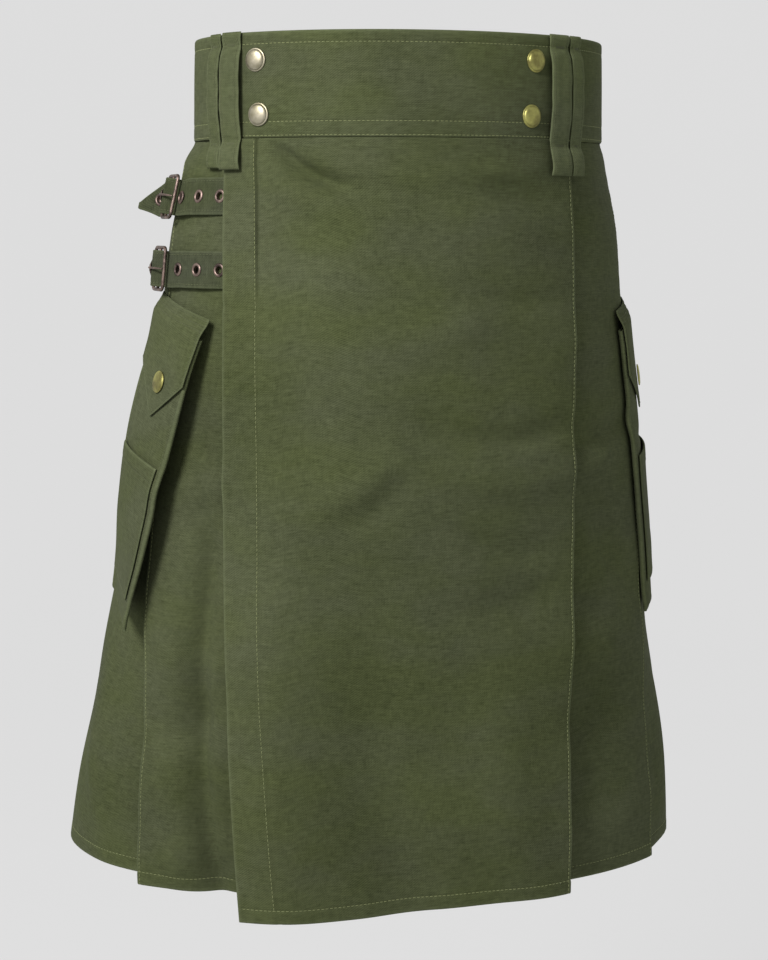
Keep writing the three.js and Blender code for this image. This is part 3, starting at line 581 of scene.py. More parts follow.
def drill_material(name, dark, light):
    """Cotton drill: twill lines, uneven yarns both ways, cloudy dye, and paler edges that are partly worn
    cloth and partly painted highlight where turned edges catch the light.
    """
    material, tree, surface = new_material(name)
    coordinates = add_node(tree, "ShaderNodeTexCoord")
    cloth = coordinates.outputs["UV"]
    room = coordinates.outputs["Object"]
    weft = noise(tree, stretched(tree, cloth, (YARN_LONG, YARN_FINE, 1)), 1.0)
    warp = noise(tree, stretched(tree, cloth, (YARN_FINE, YARN_LONG, 1)), 1.0)
    slanted = stretched(tree, cloth, (1, 1, 1), TWILL_SLANT)
    values = {"Vector": slanted, "Scale": TWILL_SCALE, "Distortion": 0.4, "Detail": 1.0}
    twill = add_node(tree, "ShaderNodeTexWave", values).outputs["Fac"]
    cloud = noise(tree, room, 9.0, 4.0, 0.55)
    speckle = noise(tree, room, 240.0, 3.0, 0.65)
    streak = noise(tree, stretched(tree, cloth, (STREAK_LONG, STREAK_FINE, 1)), 1.0, 2.0)
    yarns = weighted(tree, [(weft, 0.45), (warp, 0.25), (twill, 0.14)])
    dye = weighted(tree, [(cloud, 0.34), (speckle, 0.32), (streak, 0.16)])
    tone = spread(tree, combined(tree, yarns, dye, "ADD"), 0.58, 1.08)
    colour = blend(tree, tone, dark, light)
    patches = noise(tree, stretched(tree, room, PATCH_SCALES), 1.0, 3.0, 0.55)
    tint = blend(tree, spread(tree, patches, 0.36, 0.64), GREYED, YELLOWED)
    values = {0: 1.0, 6: colour, 7: tint}
    colour = add_node(tree, "ShaderNodeMix", values, data_type="RGBA", blend_type="MULTIPLY").outputs[2]
    # Painted highlight with wear: the pale edge mask lightens turned edges, partly as worn cloth and partly
    # standing in for the light they catch
    wear_and_edge_light = add_node(tree, "ShaderNodeAttribute", attribute_name="wear_and_edge_light").outputs["Fac"]
    pale_breakup = weighted(tree, [(speckle, 0.6), (weft, 0.4)])
    colour = blend(tree, combined(tree, wear_and_edge_light, pale_breakup, "MULTIPLY"), colour, WORN_AND_LIT_EDGE_COLOUR)
    weave = bumped(tree, weighted(tree, [(twill, 0.5), (weft, 0.4), (warp, 0.3)]), 0.5, 0.0003)
    crumple = bumped(tree, noise(tree, room, 38.0, 3.0, 0.5), 0.3, 0.0016, weave)
    finish_surface(tree, surface, colour, crumple, DRILL_FINISH)
    return material


def metal_material(name, bright, dull, roughness, patina_scale, shine):
    """Worn metal: a dull film broken by brighter rubbed places, with fine scratches."""
    material, tree, surface = new_material(name)
    room = add_node(tree, "ShaderNodeTexCoord").outputs["Object"]
    film = noise(tree, room, patina_scale, 4.0, 0.6)
    colour = blend(tree, spread(tree, film, 0.36, 0.66), dull, bright)
    scratch = noise(tree, stretched(tree, room, SCRATCH_SCALES), 1.0)
    gloss = weighted(tree, [(film, 0.25), (scratch, 0.12)])
    tree.links.new(combined(tree, gloss, roughness, "ADD"), surface.inputs["Roughness"])
    finish_surface(tree, surface, colour, bumped(tree, scratch, 0.25, 0.00008), {"Metallic": shine})
    return material


def thread_material(name, dark, light):
    """Cotton thread, its two plies twisted."""
    material, tree, surface = new_material(name)
    room = add_node(tree, "ShaderNodeTexCoord").outputs["Object"]
    ply = noise(tree, room, 1800.0, 1.0)
    tint = noise(tree, room, 40.0, 2.0)
    colour = blend(tree, weighted(tree, [(ply, 0.6), (tint, 0.4)]), dark, light)
    finish_surface(tree, surface, colour, bumped(tree, ply, 0.4, 0.0001), THREAD_FINISH)
    return material


def stage_material():
    """Pale even studio paper that glows a little, so that it shows no edge."""
    material, tree, surface = new_material("studio_paper")
    room = add_node(tree, "ShaderNodeTexCoord").outputs["Object"]
    grain = noise(tree, room, 3.0, 2.0)
    colour = blend(tree, grain, (0.11, 0.11, 0.11, 1), (0.12, 0.12, 0.12, 1))
    finish_surface(tree, surface, colour, None, PAPER_FINISH)
    return material


MATERIALS = {
    "drill": drill_material("drill", (0.026, 0.0315, 0.0125, 1), (0.075, 0.087, 0.04, 1)),
    "faded": drill_material("faded", (0.034, 0.041, 0.0175, 1), (0.097, 0.113, 0.054, 1)),
    "webbing": drill_material("webbing", (0.018, 0.022, 0.011, 1), (0.056, 0.064, 0.034, 1)),
    "brass": metal_material("brass", (0.41, 0.4, 0.13, 1), (0.19, 0.175, 0.06, 1), 0.3, 110.0, 1.0),
    "pearl": metal_material("pearl", (0.4, 0.37, 0.28, 1), (0.24, 0.22, 0.14, 1), 0.27, 110.0, 0.95),
    "steel": metal_material("steel", (0.27, 0.2, 0.165, 1), (0.07, 0.052, 0.045, 1), 0.3, 150.0, 1.0),
    "thread": thread_material("thread", (0.085, 0.098, 0.038, 1), (0.19, 0.21, 0.095, 1)),
    "dull_thread": thread_material("dull_thread", (0.035, 0.041, 0.018, 1), (0.085, 0.098, 0.044, 1)),
}


# Meshes


def add_mesh(name, points, faces, material, uvs=None, wear_and_edge_light=None):
    mesh = bpy.data.meshes.new(name)
    mesh.from_pydata((np.asarray(points) * MM).tolist(), [], faces)
    mesh.polygons.foreach_set("use_smooth", [True] * len(mesh.polygons))
    if uvs is not None:
        corners = np.empty(len(mesh.loops), dtype=np.int32)
        mesh.loops.foreach_get("vertex_index", corners)
        layer = mesh.uv_layers.new(name="cloth")
        layer.data.foreach_set("uv", (uvs[corners] * MM).ravel().astype(np.float32))
    # The pale edge values, partly wear and partly painted highlight, go to the drill as a point attribute
    if wear_and_edge_light is not None:
        attribute = mesh.attributes.new("wear_and_edge_light", "FLOAT", "POINT")
        attribute.data.foreach_set("value", np.asarray(wear_and_edge_light, np.float32).ravel())
    mesh.materials.append(material)
    piece = bpy.data.objects.new(name, mesh)
    bpy.context.scene.collection.objects.link(piece)
    return piece


def ring_faces(rings, segments, closed=False):
    """Faces between rings of points that follow each other."""
    faces = []
    for i in range(rings if closed else rings - 1):
        here = i * segments
        there = (i + 1) % rings * segments
        for k in range(segments):
            after = (k + 1) % segments
            faces.append([here + k, here + after, there + after, there + k])
    return faces


def keep_piece(piece, slot, *nodes):
    """The piece rides on the kilt's one body and stands for CAD nodes, which are hidden; slot is not used.
    """
    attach(piece, "root")
    if nodes:
        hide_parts(*nodes)
    return piece


def lengths_along(points, axis):
    steps = np.linalg.norm(np.diff(points, axis=axis), axis=-1)
    start = np.zeros_like(np.take(steps, [0], axis=axis))
    return np.concatenate([start, np.cumsum(steps, axis=axis)], axis=axis)


def rounded(distance, radius=1.4):
    """The share of its thickness that cloth has near a turned edge."""
    near = np.clip(distance / radius, 0, 1)
    return np.sqrt(1 - 0.82 * (1 - near) ** 2)


def hump(distance, width):
    return np.exp(-((distance / width) ** 2))


def groove(distance, width, depth):
    return depth * hump(distance, width)


class Cloth:
    """A wall of cloth about a grid of points, rows down and columns across, with its face's lengths."""

    def __init__(self, name, point, facing, outer, inner, material, keep=None, wear_and_edge_light=None):
        rows, columns = point.shape[:2]
        outer = np.broadcast_to(outer, (rows, columns))
        inner = np.broadcast_to(inner, (rows, columns))
        self.face = point + facing * outer[..., None]
        self.facing = facing
        self.across = lengths_along(point, 1)
        self.down = lengths_along(point, 0)
        back = point - facing * inner[..., None]
        cells = np.ones((rows - 1, columns - 1), bool) if keep is None else keep
        v, u = np.nonzero(cells)
        index = np.arange(rows * columns).reshape(rows, columns)
        a, b, c, d = index[v, u], index[v, u + 1], index[v + 1, u + 1], index[v + 1, u]
        behind = rows * columns
        faces = [np.stack([a, d, c, b], 1), np.stack([a, b, c, d], 1) + behind]
        around = np.pad(cells, 1)
        for dv, du, p, q in ((-1, 0, a, b), (1, 0, c, d), (0, -1, d, a), (0, 1, b, c)):
            is_rim = ~around[v + 1 + dv, u + 1 + du]
            faces.append(np.stack([p, q, q + behind, p + behind], 1)[is_rim])
        points = np.concatenate([self.face.reshape(-1, 3), back.reshape(-1, 3)])
        uvs = np.stack([self.across, -self.down], -1).reshape(-1, 2)
        pale_values = np.zeros((rows, columns)) if wear_and_edge_light is None else np.broadcast_to(wear_and_edge_light, (rows, columns))
        pale_values = np.concatenate([pale_values.ravel(), pale_values.ravel()])
        uvs = np.concatenate([uvs, uvs])
        self.piece = add_mesh(name, points, np.concatenate(faces).tolist(), material, uvs, pale_values)

    def at(self, row, column):
        """Points and directions out of the face at fractional rows and columns."""
        i = np.clip(np.floor(row).astype(int), 0, self.face.shape[0] - 2)
        j = np.clip(np.floor(column).astype(int), 0, self.face.shape[1] - 2)
        s = (row - i)[:, None]
        t = (column - j)[:, None]
        picked = []
        for grid in (self.face, self.facing):
            upper = mix(grid[i, j], grid[i, j + 1], t)
            lower = mix(grid[i + 1, j], grid[i + 1, j + 1], t)
            picked.append(mix(upper, lower, s))
        return picked[0], unit(picked[1])

    def line_down(self, across, first=0, last=None):
        """A line down the face at lengths across it."""
        rows = np.arange(self.face.shape[0])[first:last]
        across = np.broadcast_to(across, self.face.shape[:1])
        numbers = np.arange(self.face.shape[1])
        columns = np.array([np.interp(across[r], self.across[r], numbers) for r in rows])
        return self.at(rows.astype(float), columns)

    def line_across(self, down, first=0, last=None):
        """A line across the face at lengths down it."""
        columns = np.arange(self.face.shape[1])[first:last]
        down = np.broadcast_to(down, self.face.shape[1:2])
        numbers = np.arange(self.face.shape[0])
        rows = np.array([np.interp(down[c], self.down[:, c], numbers) for c in columns])
        return self.at(rows, columns.astype(float))


# Stitches

THREADS = []


def sew(line, pitch=STITCH_PITCH, length=STITCH_LENGTH):
    """A row of stitches along a line of points with directions out."""
    points, facing = line
    run = lengths_along(points, 0)
    middles = np.arange(pitch / 2, run[-1], pitch)

    def sample(values, at):
        return np.stack([np.interp(at, run, values[:, k]) for k in range(3)], -1)

    starts = sample(points, middles - length / 2)
    ends = sample(points, middles + length / 2)
    THREADS.append((starts, ends, sample(facing, middles)))


def sew_sides(cloth, first, last):
    """Fine stitches down both sides of a small piece."""
    for across in (EDGE_STITCH, cloth.across[:, -1] - EDGE_STITCH):
        sew(cloth.line_down(across, first, last), FINE_PITCH, FINE_LENGTH)


def tack(centre, across, up, width, count, pitch):
    """A bar of close stitches that holds a belt loop down."""
    offsets = (np.arange(count) - (count - 1) / 2)[:, None] * pitch
    middles = centre + up * offsets
    starts = middles - across * width / 2
    ends = middles + across * width / 2
    THREADS.append((starts, ends, np.repeat(np.cross(across, up)[None, :], count, axis=0)))


def make_stitches(name, thread="thread"):
    """All threads so far as one piece: each dips into the cloth at its ends."""
    starts, ends, facing = (np.concatenate(part) for part in zip(*THREADS))
    THREADS.clear()
    facing = unit(facing)
    sideways = unit(np.cross(ends - starts, facing))
    rings = []
    for share, lift, size in STITCH_RINGS:
        middle = mix(starts, ends, share) + facing * lift
        for k in range(THREAD_SIDES):
            angle = 2 * math.pi * k / THREAD_SIDES
            radius = THREAD_RADIUS * size
            rings.append(middle + radius * (math.cos(angle) * sideways + math.sin(angle) * facing))
    points = np.stack(rings, 1)
    one_stitch = np.array(ring_faces(len(STITCH_RINGS), THREAD_SIDES))
    base = (np.arange(len(starts)) * points.shape[1])[:, None, None]
    faces = (one_stitch[None] + base).reshape(-1, 4)
    piece = add_mesh(name, points.reshape(-1, 3), faces.tolist(), MATERIALS[thread])
    return keep_piece(piece, "drill")


# The waistband, aprons and pleated skirt


def rows_from(length, pitch, top, foot):
    """Lengths down a piece: given ones near its top, even ones, and given ones up from its foot."""
    top = np.array(top)
    foot = length - np.array(foot)[::-1]
    count = int(round((foot[0] - top[-1]) / pitch))
    even = np.linspace(top[-1], foot[0], count + 1)[1:-1]
    return np.concatenate([top, even, foot])


TURNED_EDGE = [0, 0.25, 0.7, 1.4]
FOLD_STEPS = [0, 0.4, 0.9, 1.5, 2.2, 3.0, 4.2, 6, 9, 13, 17, 22, 28, 34, 40]
PUCKER = 0.14  # height of the puckers beside a stitched edge
STITCHED_EDGE = [0, 0.25, 0.7, 1.4, 2.2, 3.0, 4.0, 5.5]
HEM_ROWS = [0, 0.25, 0.7, 1.4, 3, 5, 7, 8.6, 9.4, 10, 10.6, 11.6, 13.5]
NEAR_BAND = [0, 1, 2.5, 5] + list(range(7, 48, 2))
SKIRT_ROWS = rows_from(HEM_LENGTH, 4.4, NEAR_BAND, HEM_ROWS)
SKIRT_DEPTHS = SKIRT_ROWS / HEM_LENGTH


def lap_in(share):
    return -BAND_LAP * ease(share)


def hem_rise(along):
    foot_half = half_length(HEM)
    share = np.minimum(np.abs(along), foot_half) / foot_half
    top, _, _ = place(BAND_FOOT, share * half_length(BAND_FOOT))
    foot, _, _ = place(HEM, share * foot_half)
    run = np.linalg.norm((foot - top)[..., :2], axis=-1)
    return run**2 / (2 * (BAND_FOOT - HEM))


def hem_walls(down, across_share=1.0):
    """Thickness of a hemmed piece outward and inward: its turned-up hem, stitch groove and rounded edge."""
    from_hem = HEM_LENGTH - down
    edge = rounded(from_hem)
    in_hem = 1 - ease((from_hem - HEM_BAND + 0.5) / 1.6)
    outer = (CLOTH / 2 + 0.18 * in_hem - groove(from_hem - HEM_BAND, 0.9, 0.32)) * edge
    inner = (CLOTH / 2 + 0.7 * in_hem) * edge
    return outer * across_share, inner * across_share


def hem_wear(down):
    return 0.75 * hump(HEM_LENGTH - down, 1.6)


def apron_grid():
    """The outer apron's places: fixed columns at its free edge and fold, even ones between."""
    at_facing = [24.4, 25.3, 26, 26.5, 27, 27.5, 28, 28.7, 29.6, 31, 34]
    near_edge = np.array([*TURNED_EDGE, 2.6, 5, 8, 11, 14, 17, 20, 22.5, *at_facing])
    near_fold = np.array(STITCHED_EDGE[1:] + [7.5, 10])[::-1]
    between_count = 72
    pinch = LAYER / 2
    end = APRON_FOLD - pinch
    top = smooth_curve(APRON_STAND[:, 0], APRON_STAND[:, 1])
    hem = smooth_curve(APRON_STAND[:, 0], APRON_STAND[:, 2])
    turn = np.linspace(0, math.pi, 9)[1:]
    back = np.linspace(0, 1, 10)[1:]
    rows = []
    for depth in SKIRT_DEPTHS:
        opened = depth**PLEAT_OPENING
        start = APRON_FREE_EDGE + APRON_SWING * opened
        middle = np.linspace(start + near_edge[-1], end - near_fold[0], between_count + 1)[1:-1]
        flat = np.concatenate([start + near_edge, middle, end - near_fold, [end]])
        stand = mix(top(flat), hem(flat), opened)
        radius = mix(pinch, APRON_FOLD_RADIUS, opened)
        fold_out = mix(top(APRON_FOLD), hem(APRON_FOLD), opened)
        back_gap = 2 * mix(pinch, radius, ease(back))
        along = np.concatenate([flat, end + pinch * np.sin(turn), end - APRON_TURN_IN * back])
        out = np.concatenate([stand, fold_out - pinch + pinch * np.cos(turn), fold_out - back_gap])
        turns = np.concatenate([0 * flat, turn, math.pi + 0 * back])
        rows.append((along, out, turns))
    along, out, turns = (np.array(part) for part in zip(*rows))
    return along, out, turns, len(near_edge) + between_count - 1 + len(near_fold)


def face_turned(outward, course, turns, side=1):
    return outward * np.cos(turns)[..., None] + side * course * np.sin(turns)[..., None]


def make_outer_apron():
    along, out, turns, edge_column = apron_grid()
    level = mix(SKIRT_TOP, HEM, SKIRT_DEPTHS)[:, None]
    down = SKIRT_ROWS[:, None]
    from_edge = along - along[:, :1]
    from_fold = along[:, edge_column:edge_column + 1] + LAYER / 2 - along
    on_face = turns < 0.1
    fading = mix(1, FACING_REST, ease((down - FACING_FADE_START) / FACING_FADE))
    facing_crease = groove(from_edge - FACING - 1.6, 1.2, FACING_CREASE) * fading
    facing_foot = groove(down - FACING_CREASE_END, 2.4, FACING_FOOT) * (from_edge < FACING + 1)
    pucker = PUCKER * np.sin(down / 1.9 + 0.6 * np.sin(down / 23)) * hump(from_fold - 4, 3.5) * on_face
    pucker = pucker + PUCKER * np.sin(down / 2.1) * hump(from_edge - FACING - 3, 3.5)
    point, outward, course = place(level, along, out + pucker - facing_crease - facing_foot)
    outer, inner = hem_walls(down, rounded(from_edge))
    in_facing = 1 - ease((from_edge - FACING + 1) / 1.5)
    outer = outer - groove(from_edge - FACING, 0.8, 0.25)
    outer = outer - groove(from_fold - EDGE_STITCH, 0.8, 0.3) * on_face
    inner = inner + 0.5 * in_facing * rounded(from_edge)
    # Painted highlight: pale lines along the free edge and the fold stand in for the light these turned
    # edges catch, with wear at the hem
    lit_edge = 0.8 * hump(from_edge, 1.5) + 0.7 * hump(from_fold, 1.6)
    wear_and_edge_light = np.clip(lit_edge + hem_wear(down), 0, 1)
    facing = face_turned(outward, course, turns)
    cloth = Cloth("outer_apron_cloth", point, facing, outer, inner, MATERIALS["drill"], wear_and_edge_light=wear_and_edge_light)
    sew(cloth.line_down(FACING, 1, -8))
    fold_length = cloth.across[:, edge_column] + LAYER / 2 - EDGE_STITCH
    sew(cloth.line_down(fold_length, 8))
    sew(cloth.line_across(cloth.down[-1] - HEM_BAND, 4, edge_column))
    keep_piece(cloth.piece, "drill", "outer_apron")
    return cloth


def make_under_apron():
    depth = SKIRT_DEPTHS[:, None]
    opened = depth**PLEAT_OPENING
    t = np.concatenate([[0, 0.005, 0.012], np.linspace(0.02, 0.98, 34), [0.988, 0.995, 1]])[None, :]
    level = mix(SKIRT_TOP, HEM + UNDER_APRON_RISE, depth)
    along = mix(UNDER_APRON_SEAM, UNDER_APRON_FREE_EDGE, t)
    out = mix(mix(*UNDER_APRON_WAIST, t), mix(*UNDER_APRON_HEM, ease(t)), opened)
    point, outward, _ = place(level, along, out)
    outer, inner = hem_walls(SKIRT_ROWS[:, None], rounded(UNDER_APRON_FREE_EDGE - along))
    wear_and_edge_light = hem_wear(SKIRT_ROWS[:, None])
    cloth = Cloth("under_apron_cloth", point, outward, outer, inner, MATERIALS["drill"], wear_and_edge_light=wear_and_edge_light)
    sew(cloth.line_across(cloth.down[-1] - HEM_BAND, 1, -2))
    keep_piece(cloth.piece, "drill", "under_apron")
    return cloth


def panel_course(first, first_out, fold, fold_out, next_out, fullness):
    """One panel from where it comes out to its fold, then the pleat's two hidden layers: lengths along,
    distances out and turns, piece by piece, with the number of places before the fold."""
    pinch = LAYER / 2
    radius = (fold_out - next_out) / 4
    edge = fold - pinch
    inner_turn = edge - PLEAT_DEPTH

    def out_at(x):
        rise = 1 - (1 - np.clip((x - first) / (edge - first), 0, 1)) ** fullness
        return mix(first_out, fold_out, rise)

    arc = np.linspace(0, math.pi, 7)[1:]
    inner_arc = math.pi - arc
    inner_arc_out = out_at(inner_turn) - radius * (3 + np.cos(inner_arc))
    shown = np.linspace(first, inner_turn, 15)[:-1]
    folded = edge - np.array(FOLD_STEPS)[::-1]
    back = edge - np.linspace(0, PLEAT_DEPTH, 10)[1:]
    gap = 2 * mix(pinch, radius, ease((edge - back) / PLEAT_DEPTH))
    deep = np.linspace(inner_turn, edge, 8)[1:]
    pieces = [
        (shown, out_at(shown), 0 * shown),
        (folded, out_at(folded), 0 * folded),
        (edge + pinch * np.sin(arc), fold_out - pinch + pinch * np.cos(arc), arc),
        (back, out_at(back) - gap, math.pi + 0 * back),
        (inner_turn - radius * np.sin(inner_arc), inner_arc_out, inner_arc),
        (deep, out_at(deep) - 4 * radius, 0 * deep),
    ]
    return pieces, len(shown) + len(folded)


def pleat_course(side, depth, half):
    """One side's panels and pleats at one depth, from the front to the back centre: lengths along,
    distances out, turns, with the column numbers where each panel comes out and where it folds."""
    opened = depth**PLEAT_OPENING
    waist_half = half_length(BAND_FOOT)
    spread_share = (half - waist_half) / (half_length(HEM) - waist_half)
    lap_share = 1 - ease(min(1.0, depth / LAP_FADE))
    is_left = side == "left"

    def lap(distance):
        return lap_share * lap_in(1.0 if is_left else (distance - BAND_LAP_START) / BAND_LAP_RUN)

    start = LEFT_PANEL_START if is_left else RIGHT_PANEL_START
    cover = (-APRON_FREE_EDGE if is_left else APRON_FOLD) + PANEL_COVER
    panels = PANELS[side]
    start_out = lap(start) + mix(-2 * LAYER, panels[0][2], opened)
    count = 5
    pieces = [(np.linspace(start, cover, count + 1)[:-1], np.full(count, start_out), np.zeros(count))]
    marks = []
    for i, (fold_waist, fold_hem, _, hem_out, fullness) in enumerate(panels):
        fold = half - mix(fold_waist, fold_hem, spread_share)
        next_hem_out = panels[i + 1][2] if i + 1 < len(panels) else panels[i][2]
        fold_out = lap(fold) + mix(0, hem_out, opened)
        next_out = lap(fold) + mix(-2 * LAYER, next_hem_out, opened)
        panel, shown_count = panel_course(cover, start_out, fold, fold_out, next_out, fullness)
        marks.append((count, count + shown_count - 1))
        count += sum(len(piece[0]) for piece in panel)
        pieces += panel
        start_out = next_out
        cover = fold + PANEL_COVER
    pieces.append((np.array([half]), np.array([start_out]), np.zeros(1)))
    along, out, turns = (np.concatenate(part) for part in zip(*pieces))
    return along, out, turns, marks


def make_skirt_half(side):
    sign = -1 if side == "left" else 1
    rows = []
    for depth in SKIRT_DEPTHS:
        half = half_length(mix(SKIRT_TOP, HEM, depth))
        along, out, turns, marks = pleat_course(side, depth, half)
        level = mix(SKIRT_TOP, HEM + hem_rise(along), depth)
        rows.append((level, along * half_length(level) / half, out, turns))
    level, along, out, turns = (np.array(part) for part in zip(*rows))
    down = SKIRT_ROWS[:, None]
    out = out + crease_height(SKIRT_CREASES, level, sign * along) * ease(down / 60)
    fold_groove = np.zeros_like(along)
    wear_and_edge_light = np.zeros_like(along) + hem_wear(down)
    for _, fold in marks:
        from_fold = along[:, fold:fold + 1] + LAYER / 2 - along
        on_panel = (turns < 0.1) & (np.abs(from_fold) < 12) & (np.arange(along.shape[1]) <= fold)
        fold_groove += groove(from_fold - EDGE_STITCH, 0.8, 0.3) * on_panel
        near = np.abs(np.arange(along.shape[1]) - fold) < 6
        # Painted highlight with wear: a pale line along each pleat's fold edge
        wear_and_edge_light += 0.7 * hump(from_fold, 1.5) * near
        out = out + PUCKER * np.sin(down / 2.0 + fold) * hump(from_fold - 4, 3.5) * on_panel
    point, outward, course = place(level, sign * along, out)
    facing = face_turned(outward, course, turns, sign)
    outer, inner = hem_walls(down)
    outer = outer - fold_groove
    wear_and_edge_light = np.clip(wear_and_edge_light, 0, 1)
    columns = along.shape[1]
    if sign < 0:
        point, facing, outer = point[:, ::-1], facing[:, ::-1], outer[:, ::-1]
        wear_and_edge_light = wear_and_edge_light[:, ::-1]
        marks = [(columns - 1 - fold, columns - 1 - shown) for shown, fold in marks]
    cloth = Cloth("skirt_" + side, point, facing, outer, inner, MATERIALS["drill"], wear_and_edge_light=wear_and_edge_light)
    for first, last in marks:
        fold = last if sign > 0 else first
        step = -EDGE_STITCH + LAYER / 2 if sign > 0 else EDGE_STITCH - LAYER / 2
        sew(cloth.line_down(cloth.across[:, fold] + step, 6))
        sew(cloth.line_across(cloth.down[-1] - HEM_BAND, first, last + 1))
    keep_piece(cloth.piece, "drill", "pleated_skirt")
    return cloth


BAND_TOP_STITCH = 8.0
BAND_MIDDLE_STITCH = 59.5
BAND_FOOT_STITCH = 68.6


def make_waistband():
    height = BAND_TOP - BAND_FOOT
    near_top = TURNED_EDGE + [3, 5, 6.6, 7.4, 8, 8.6, 9.4, 11.5]
    near_foot = TURNED_EDGE + [2, 3, 5, 7.5, 9.2, 9.9, 10.5, 11.1, 12, 14]
    down = rows_from(height, 2.6, near_top, near_foot)[:, None]
    level = BAND_TOP - down
    full_turn = 2 * half_length(0.0)
    end = full_turn + BAND_INNER_END
    length = np.concatenate([
        BAND_OUTER_END + np.array([0, 0.3, 0.8, 1.6]),
        np.linspace(BAND_OUTER_END + 3, end, 300),
    ])[None, :]
    out = lap_in((length - BAND_LAP_START) / BAND_LAP_RUN)
    out = out - 0.8 * ease((length - full_turn + 160) / 60)
    scale = half_length(level) / half_length(0.0)
    is_second = length > full_turn / 2
    along = np.where(is_second, (length - full_turn) * scale, length * scale)
    bulge = 0.35 * np.sin(math.pi * np.clip((down - 8) / 52, 0, 1)) * (1 + 0.5 * np.sin(length / 37))
    pucker = 0.13 * np.sin(length / 2.2 + 0.8 * np.sin(length / 29))
    near_seams = hump(down - 56, 7) + 0.8 * hump(down - 4.5, 3)
    out = out + bulge + pucker * near_seams
    point, outward, _ = place(level, along, out)
    edge = rounded(down, 1.8) * rounded(height - down, 1.8) * rounded(length - BAND_OUTER_END)
    outer = BAND_CLOTH / 2 - groove(down - BAND_TOP_STITCH, 0.9, 0.34)
    outer = outer - groove(down - BAND_MIDDLE_STITCH, 0.9, 0.26) - groove(down - BAND_FOOT_STITCH, 0.7, 0.3)
    # Painted highlight with wear: pale lines on the band's top and foot edges, the top one stronger
    wear_and_edge_light = 0.75 * hump(down, 1.6) + 0.4 * hump(height - down, 1.4)
    inner = BAND_CLOTH / 2 * edge
    cloth = Cloth("waistband_cloth", point, outward, outer * edge, inner, MATERIALS["drill"], wear_and_edge_light=wear_and_edge_light)
    last = int(np.searchsorted(length[0], full_turn - 150))
    for row in (BAND_TOP_STITCH, BAND_MIDDLE_STITCH, BAND_FOOT_STITCH):
        sew(cloth.line_across(row, 3, last))
    keep_piece(cloth.piece, "drill", "waistband")
    return cloth


def band_face(along):
    distance = 2 * half_length(0.0) + along if along < BAND_OUTER_END else along
    return lap_in((distance - BAND_LAP_START) / BAND_LAP_RUN) + 1.5


def make_belt_loop(name, along, width, reach):
    stand_at = smooth_curve(LOOP_COURSE[:, 0], LOOP_COURSE[:, 1])
    top, foot = LOOP_COURSE[0, 0], LOOP_COURSE[-1, 0]
    course = np.linspace(top, foot, 62)[:, None]
    half = width / 2
    share = np.array([0, 0.4, 0.62, 0.74, 0.85, 0.94, 0.985, 1])
    across = half * np.concatenate([-share[:0:-1], share])[None, :]
    on_apron = LOOP_ON_APRON if APRON_FREE_EDGE < along < 0 else 0.0
    stand = stand_at(course) + np.where(course < BAND_FOOT, on_apron * ease((BAND_FOOT - course) / 6), 0)
    level = np.where(course < BAND_FOOT, mix(BAND_FOOT, course, reach), course)
    from_side = half - np.abs(across)
    wrinkle = LOOP_WRINKLE * np.sin(course / 2.9 + along)
    wrinkle = wrinkle * np.sin(across / width * 5 + course / 9 + along / 40)
    ridge = 0.3 * hump(from_side - 3.6, 1.3)
    drawn = LOOP_DENT * sum(hump(course - tack_level, 2.4) for tack_level in LOOP_TACKS)
    squeeze = 1 - 0.06 * (drawn / LOOP_DENT)
    middle = along
    if abs(along) > LOOP_BACK:
        middle = along * half_length(np.minimum(level, BAND_FOOT)) / half_length(BAND_FOOT)
    point, outward, _ = place(level, middle + across * squeeze, band_face(along) + stand + wrinkle)
    slope = np.gradient(stand[:, 0], course[:, 0])[:, None, None]
    facing = unit(outward - slope * np.array([0, 0, 1.0]))
    edge = rounded(from_side, 1.5) * rounded(np.minimum(top - course, course - foot), 1.5)
    outer = (LOOP_CLOTH / 2 + ridge - groove(from_side - EDGE_STITCH, 0.7, 0.22) - drawn) * edge
    # Painted highlight with wear: paler along the loop's sides, and a little paler all over
    wear_and_edge_light = 0.6 * hump(from_side, 1.2) + 0.3
    inner = LOOP_CLOTH / 2 * edge
    tone = "faded" if "_right_" in name else "drill"
    cloth = Cloth(name + "_cloth", point, facing, outer, inner, MATERIALS[tone], wear_and_edge_light=wear_and_edge_light)
    for inset in (EDGE_STITCH, width - EDGE_STITCH):
        sew(cloth.line_down(inset, 1, -1), FINE_PITCH, FINE_LENGTH)
    for level_of in LOOP_TACKS:
        row = np.array([np.interp(-level_of, -course[:, 0], np.arange(len(course)))])
        centre, out = cloth.at(row, np.array([(across.shape[1] - 1) / 2.0]))
        axis = unit(cloth.face[int(row[0]), -1] - cloth.face[int(row[0]), 0])
        tack(centre[0], axis, np.cross(out[0], axis), width * 0.5, 3, 0.5)
    keep_piece(cloth.piece, "drill", name)
    return cloth


# Metal pieces


def lathe(name, profile, segments, matrix, material):
    """A turned piece: profile points are (radius, height), and the axis is the matrix's z."""
    profile = np.array(profile, float)
    angles = np.linspace(0, 2 * math.pi, segments, endpoint=False)
    ring = stack(
        profile[:, None, 0] * np.cos(angles),
        profile[:, None, 0] * np.sin(angles),
        profile[:, None, 1] + 0 * angles,
    )
    faces = ring_faces(len(profile), segments)
    return add_mesh(name, moved(matrix, ring.reshape(-1, 3)), faces, material)


